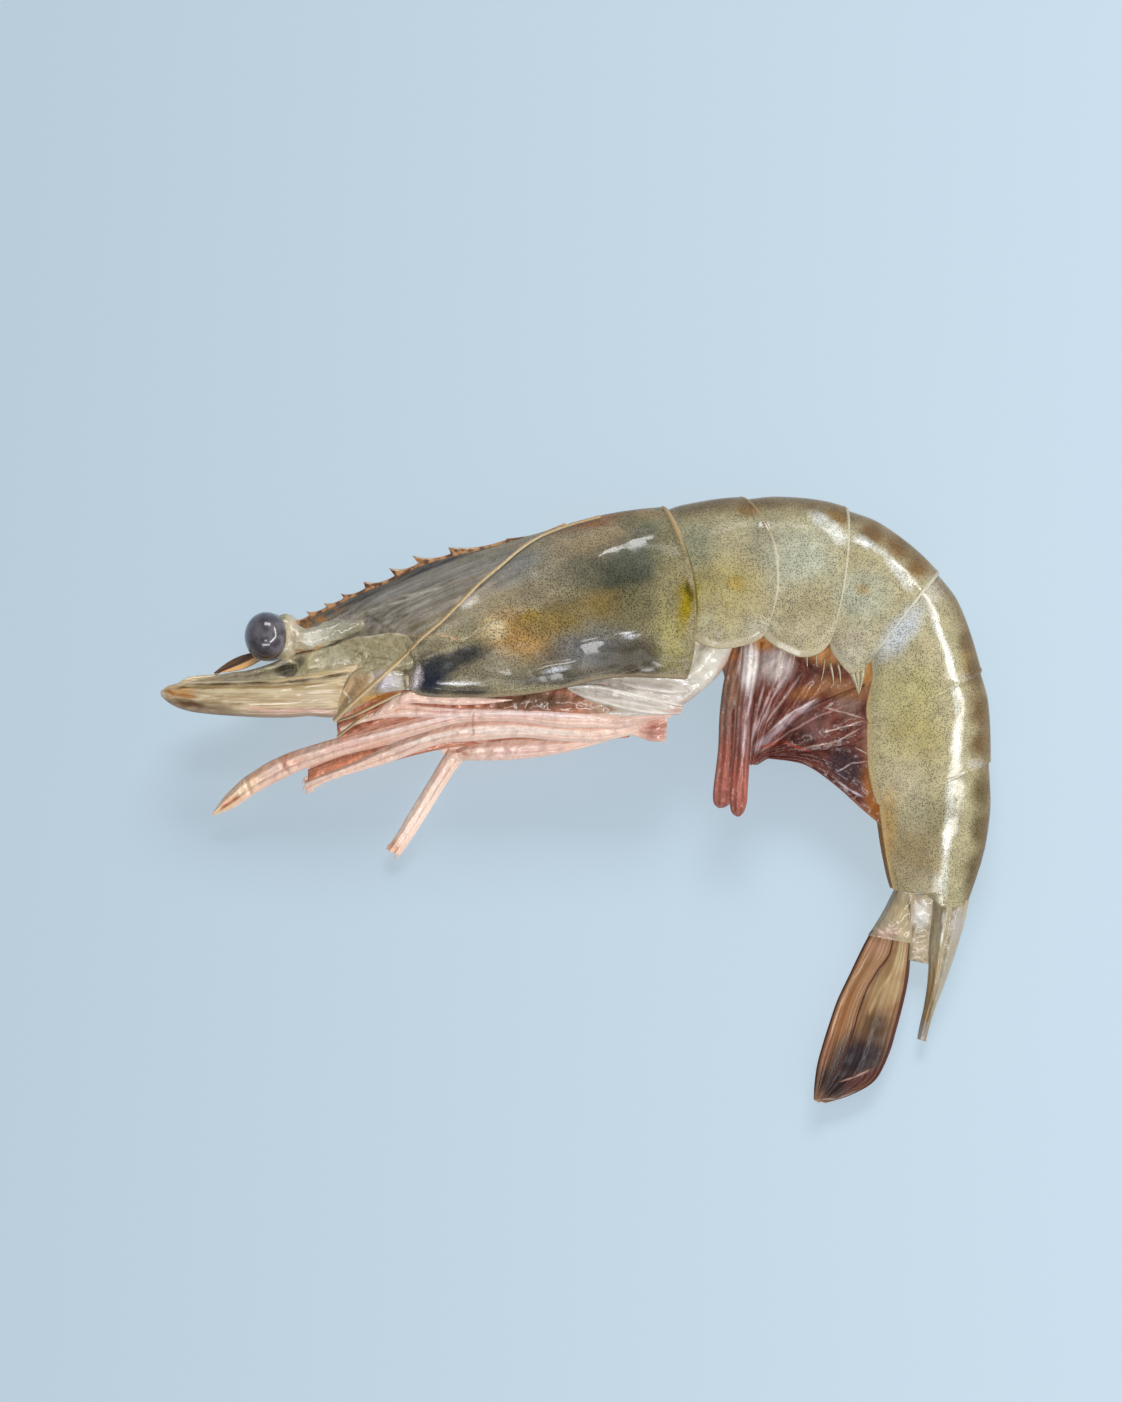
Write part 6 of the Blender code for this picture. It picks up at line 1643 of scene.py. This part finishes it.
telson_shell = soft_skin("telson_shell", (0.4, 0.34, 0.23), (0.3, 0.24, 0.15), 78, (
    (50.0, -16.5, 1.6, 2.5, 0, (0.72, 0.71, 0.68), 0.95),            # white skin beside the telson
    (50.0, -21.4, 1.4, 2.0, 0, (0.5, 0.4, 0.27), 0.8),
    (55.2, -17.8, 1.2, 3.5, -10, (0.38, 0.36, 0.35), 0.8),
    (54.0, -25.0, 1.3, 6.4, -14, (0.33, 0.31, 0.27), 0.8),
    (51.9, -26.5, 0.7, 5.8, -6, (0.38, 0.26, 0.12), 0.8),
    (51.0, -30.7, 1.2, 5.2, -8, (0.17, 0.12, 0.06), 0.95),
    (50.5, -33.6, 0.9, 2.0, -8, (0.24, 0.23, 0.24), 0.8),
    (47.0, -16.3, 1.6, 2.6, -20, (0.4, 0.31, 0.17), 0.85),
    (44.8, -19.4, 2.6, 1.2, 20, (0.48, 0.3, 0.23), 0.8),
    (47.3, -19.9, 1.3, 1.7, 0, (0.52, 0.42, 0.26), 0.8),
), (
    # painted highlight along the telson's ridge
    *stroke(((53.2, -15.9), (53.1, -18.5), (52.9, -20.8)), 0.24, (0.8, 0.78, 0.72), 0.9),
    *stroke(((48.1, -14.3), (48.3, -15.9), (48.1, -17.6)), 0.28, (0.08, 0.05, 0.03), 0.9),
    *stroke(((51.5, -23.6), (51.3, -28.6), (50.6, -33.0)), 0.35, (0.36, 0.22, 0.08), 0.8),
    *stroke(((51.9, -22.8), (51.9, -27.9), (51.2, -32.3)), 0.18, (0.14, 0.1, 0.06), 0.6),
    # painted highlight along the joint of the fan's root
    *stroke(((43.4, -18.5), (44.8, -19.6), (46.4, -20.5)), 0.25, (0.7, 0.52, 0.44), 0.8),
    *stroke(((43.1, -19.2), (44.5, -20.4), (46.0, -21.2)), 0.2, (0.24, 0.12, 0.07), 0.8),
    *stroke(((44.5, -14.9), (43.4, -17.0), (42.6, -19.4)), 0.25, (0.3, 0.14, 0.07), 0.8),
    *stroke(((48.6, -23.1), (49.7, -22.8), (51.0, -23.7)), 0.22, (0.62, 0.48, 0.36), 0.8),
), bump=0.0002, film=0.6)


def blade_relief(t, across):
    """A stiff rib along each edge of a tail blade, a midrib, and faint flutes between."""
    ribs = 0.16 * hump(across, 0.1, 0.05) + 0.18 * hump(across, 0.5, 0.06) + 0.1 * hump(across, 0.93, 0.04)
    return (ribs + 0.03 * math.sin(across * 50)) * (1 - ease(0.85, 1.0, t))


def telson_relief(t, across):
    """The long groove down the telson, between two ridges."""
    return (0.3 * hump(across, 0.36, 0.1) - 0.1 * hump(across, 0.52, 0.08)
            + 0.1 * hump(across, 0.7, 0.1)) * (1 - ease(0.8, 1.0, t))


plate("tail_spike",
      ((51.8, -14.1), (51.5, -18.2), (51.2, -21.4), (51.2, -24.3), (51.0, -27.2), (50.6, -30.1),
      (50.0, -33.0), (49.7, -34.9)),
      ((57.1, -14.4), (56.3, -18.2), (55.4, -21.4), (54.5, -24.3), (53.6, -26.9), (52.5, -29.8),
      (51.6, -32.7), (51.0, -35.3)),
      (3.9, 3.6, 3.3, 3.0, 2.6, 2.2, 1.8, 1.5), (1.9, 1.8, 1.5, 1.3, 1.1, 0.8, 0.6, 0.4),
      telson_shell, "clear_shell", "telson", around=72, rings=150, relief=telson_relief, wobble=0.1)
plate("skin_beside_telson",
      ((47.1, -13.6), (48.0, -16.7), (48.1, -19.9), (48.4, -23.3)),
      ((52.9, -13.6), (52.3, -16.7), (51.9, -19.9), (51.5, -23.9)),
      (3.4, 3.1, 2.8, 2.4), (1.3, 1.1, 0.7, 0.3), telson_shell, "clear_shell", "tail_web", wobble=0.3)
for side, lift in (("left", 0.0), ("right", -3.0)):
    plate(f"fan_root_{side}",
          ((46.5, -12.4), (45.1, -15.3), (43.8, -17.6), (42.5, -19.6)),
          ((49.2, -12.4), (48.9, -15.3), (48.7, -18.2), (48.7, -20.7)),
          tuple(z + lift for z in (4.8, 4.8, 4.7, 4.4)), (1.1, 1.2, 1.1, 0.6), telson_shell,
          "clear_shell", f"uropod_root_{side}", relief=lambda t, across: 0.2 * hump(t, 0.85, 0.08),
          wobble=0.2)
for side, shift in (("left", (0.0, 0.0, 0.0)), ("right", (0.5, 0.5, -2.6))):
    for which, edges, heights in (("outer", OUTER_EDGES, OUTER_HEIGHTS),
                                  ("inner", INNER_EDGES, INNER_HEIGHTS)):
        one, other = (tuple((x + shift[0], y + shift[1]) for x, y in edge) for edge in edges)
        plate(f"fan_{which}_{side}", one, other,
              tuple(max(z + shift[2] * (1 if which == "outer" else 0.8), 0.5) for z in heights),
              BLADE_DEPTHS, fan_shell, "tail_fan", f"uropod_{which}_{side}", around=90, rings=140,
              relief=blade_relief, wobble=0.05)
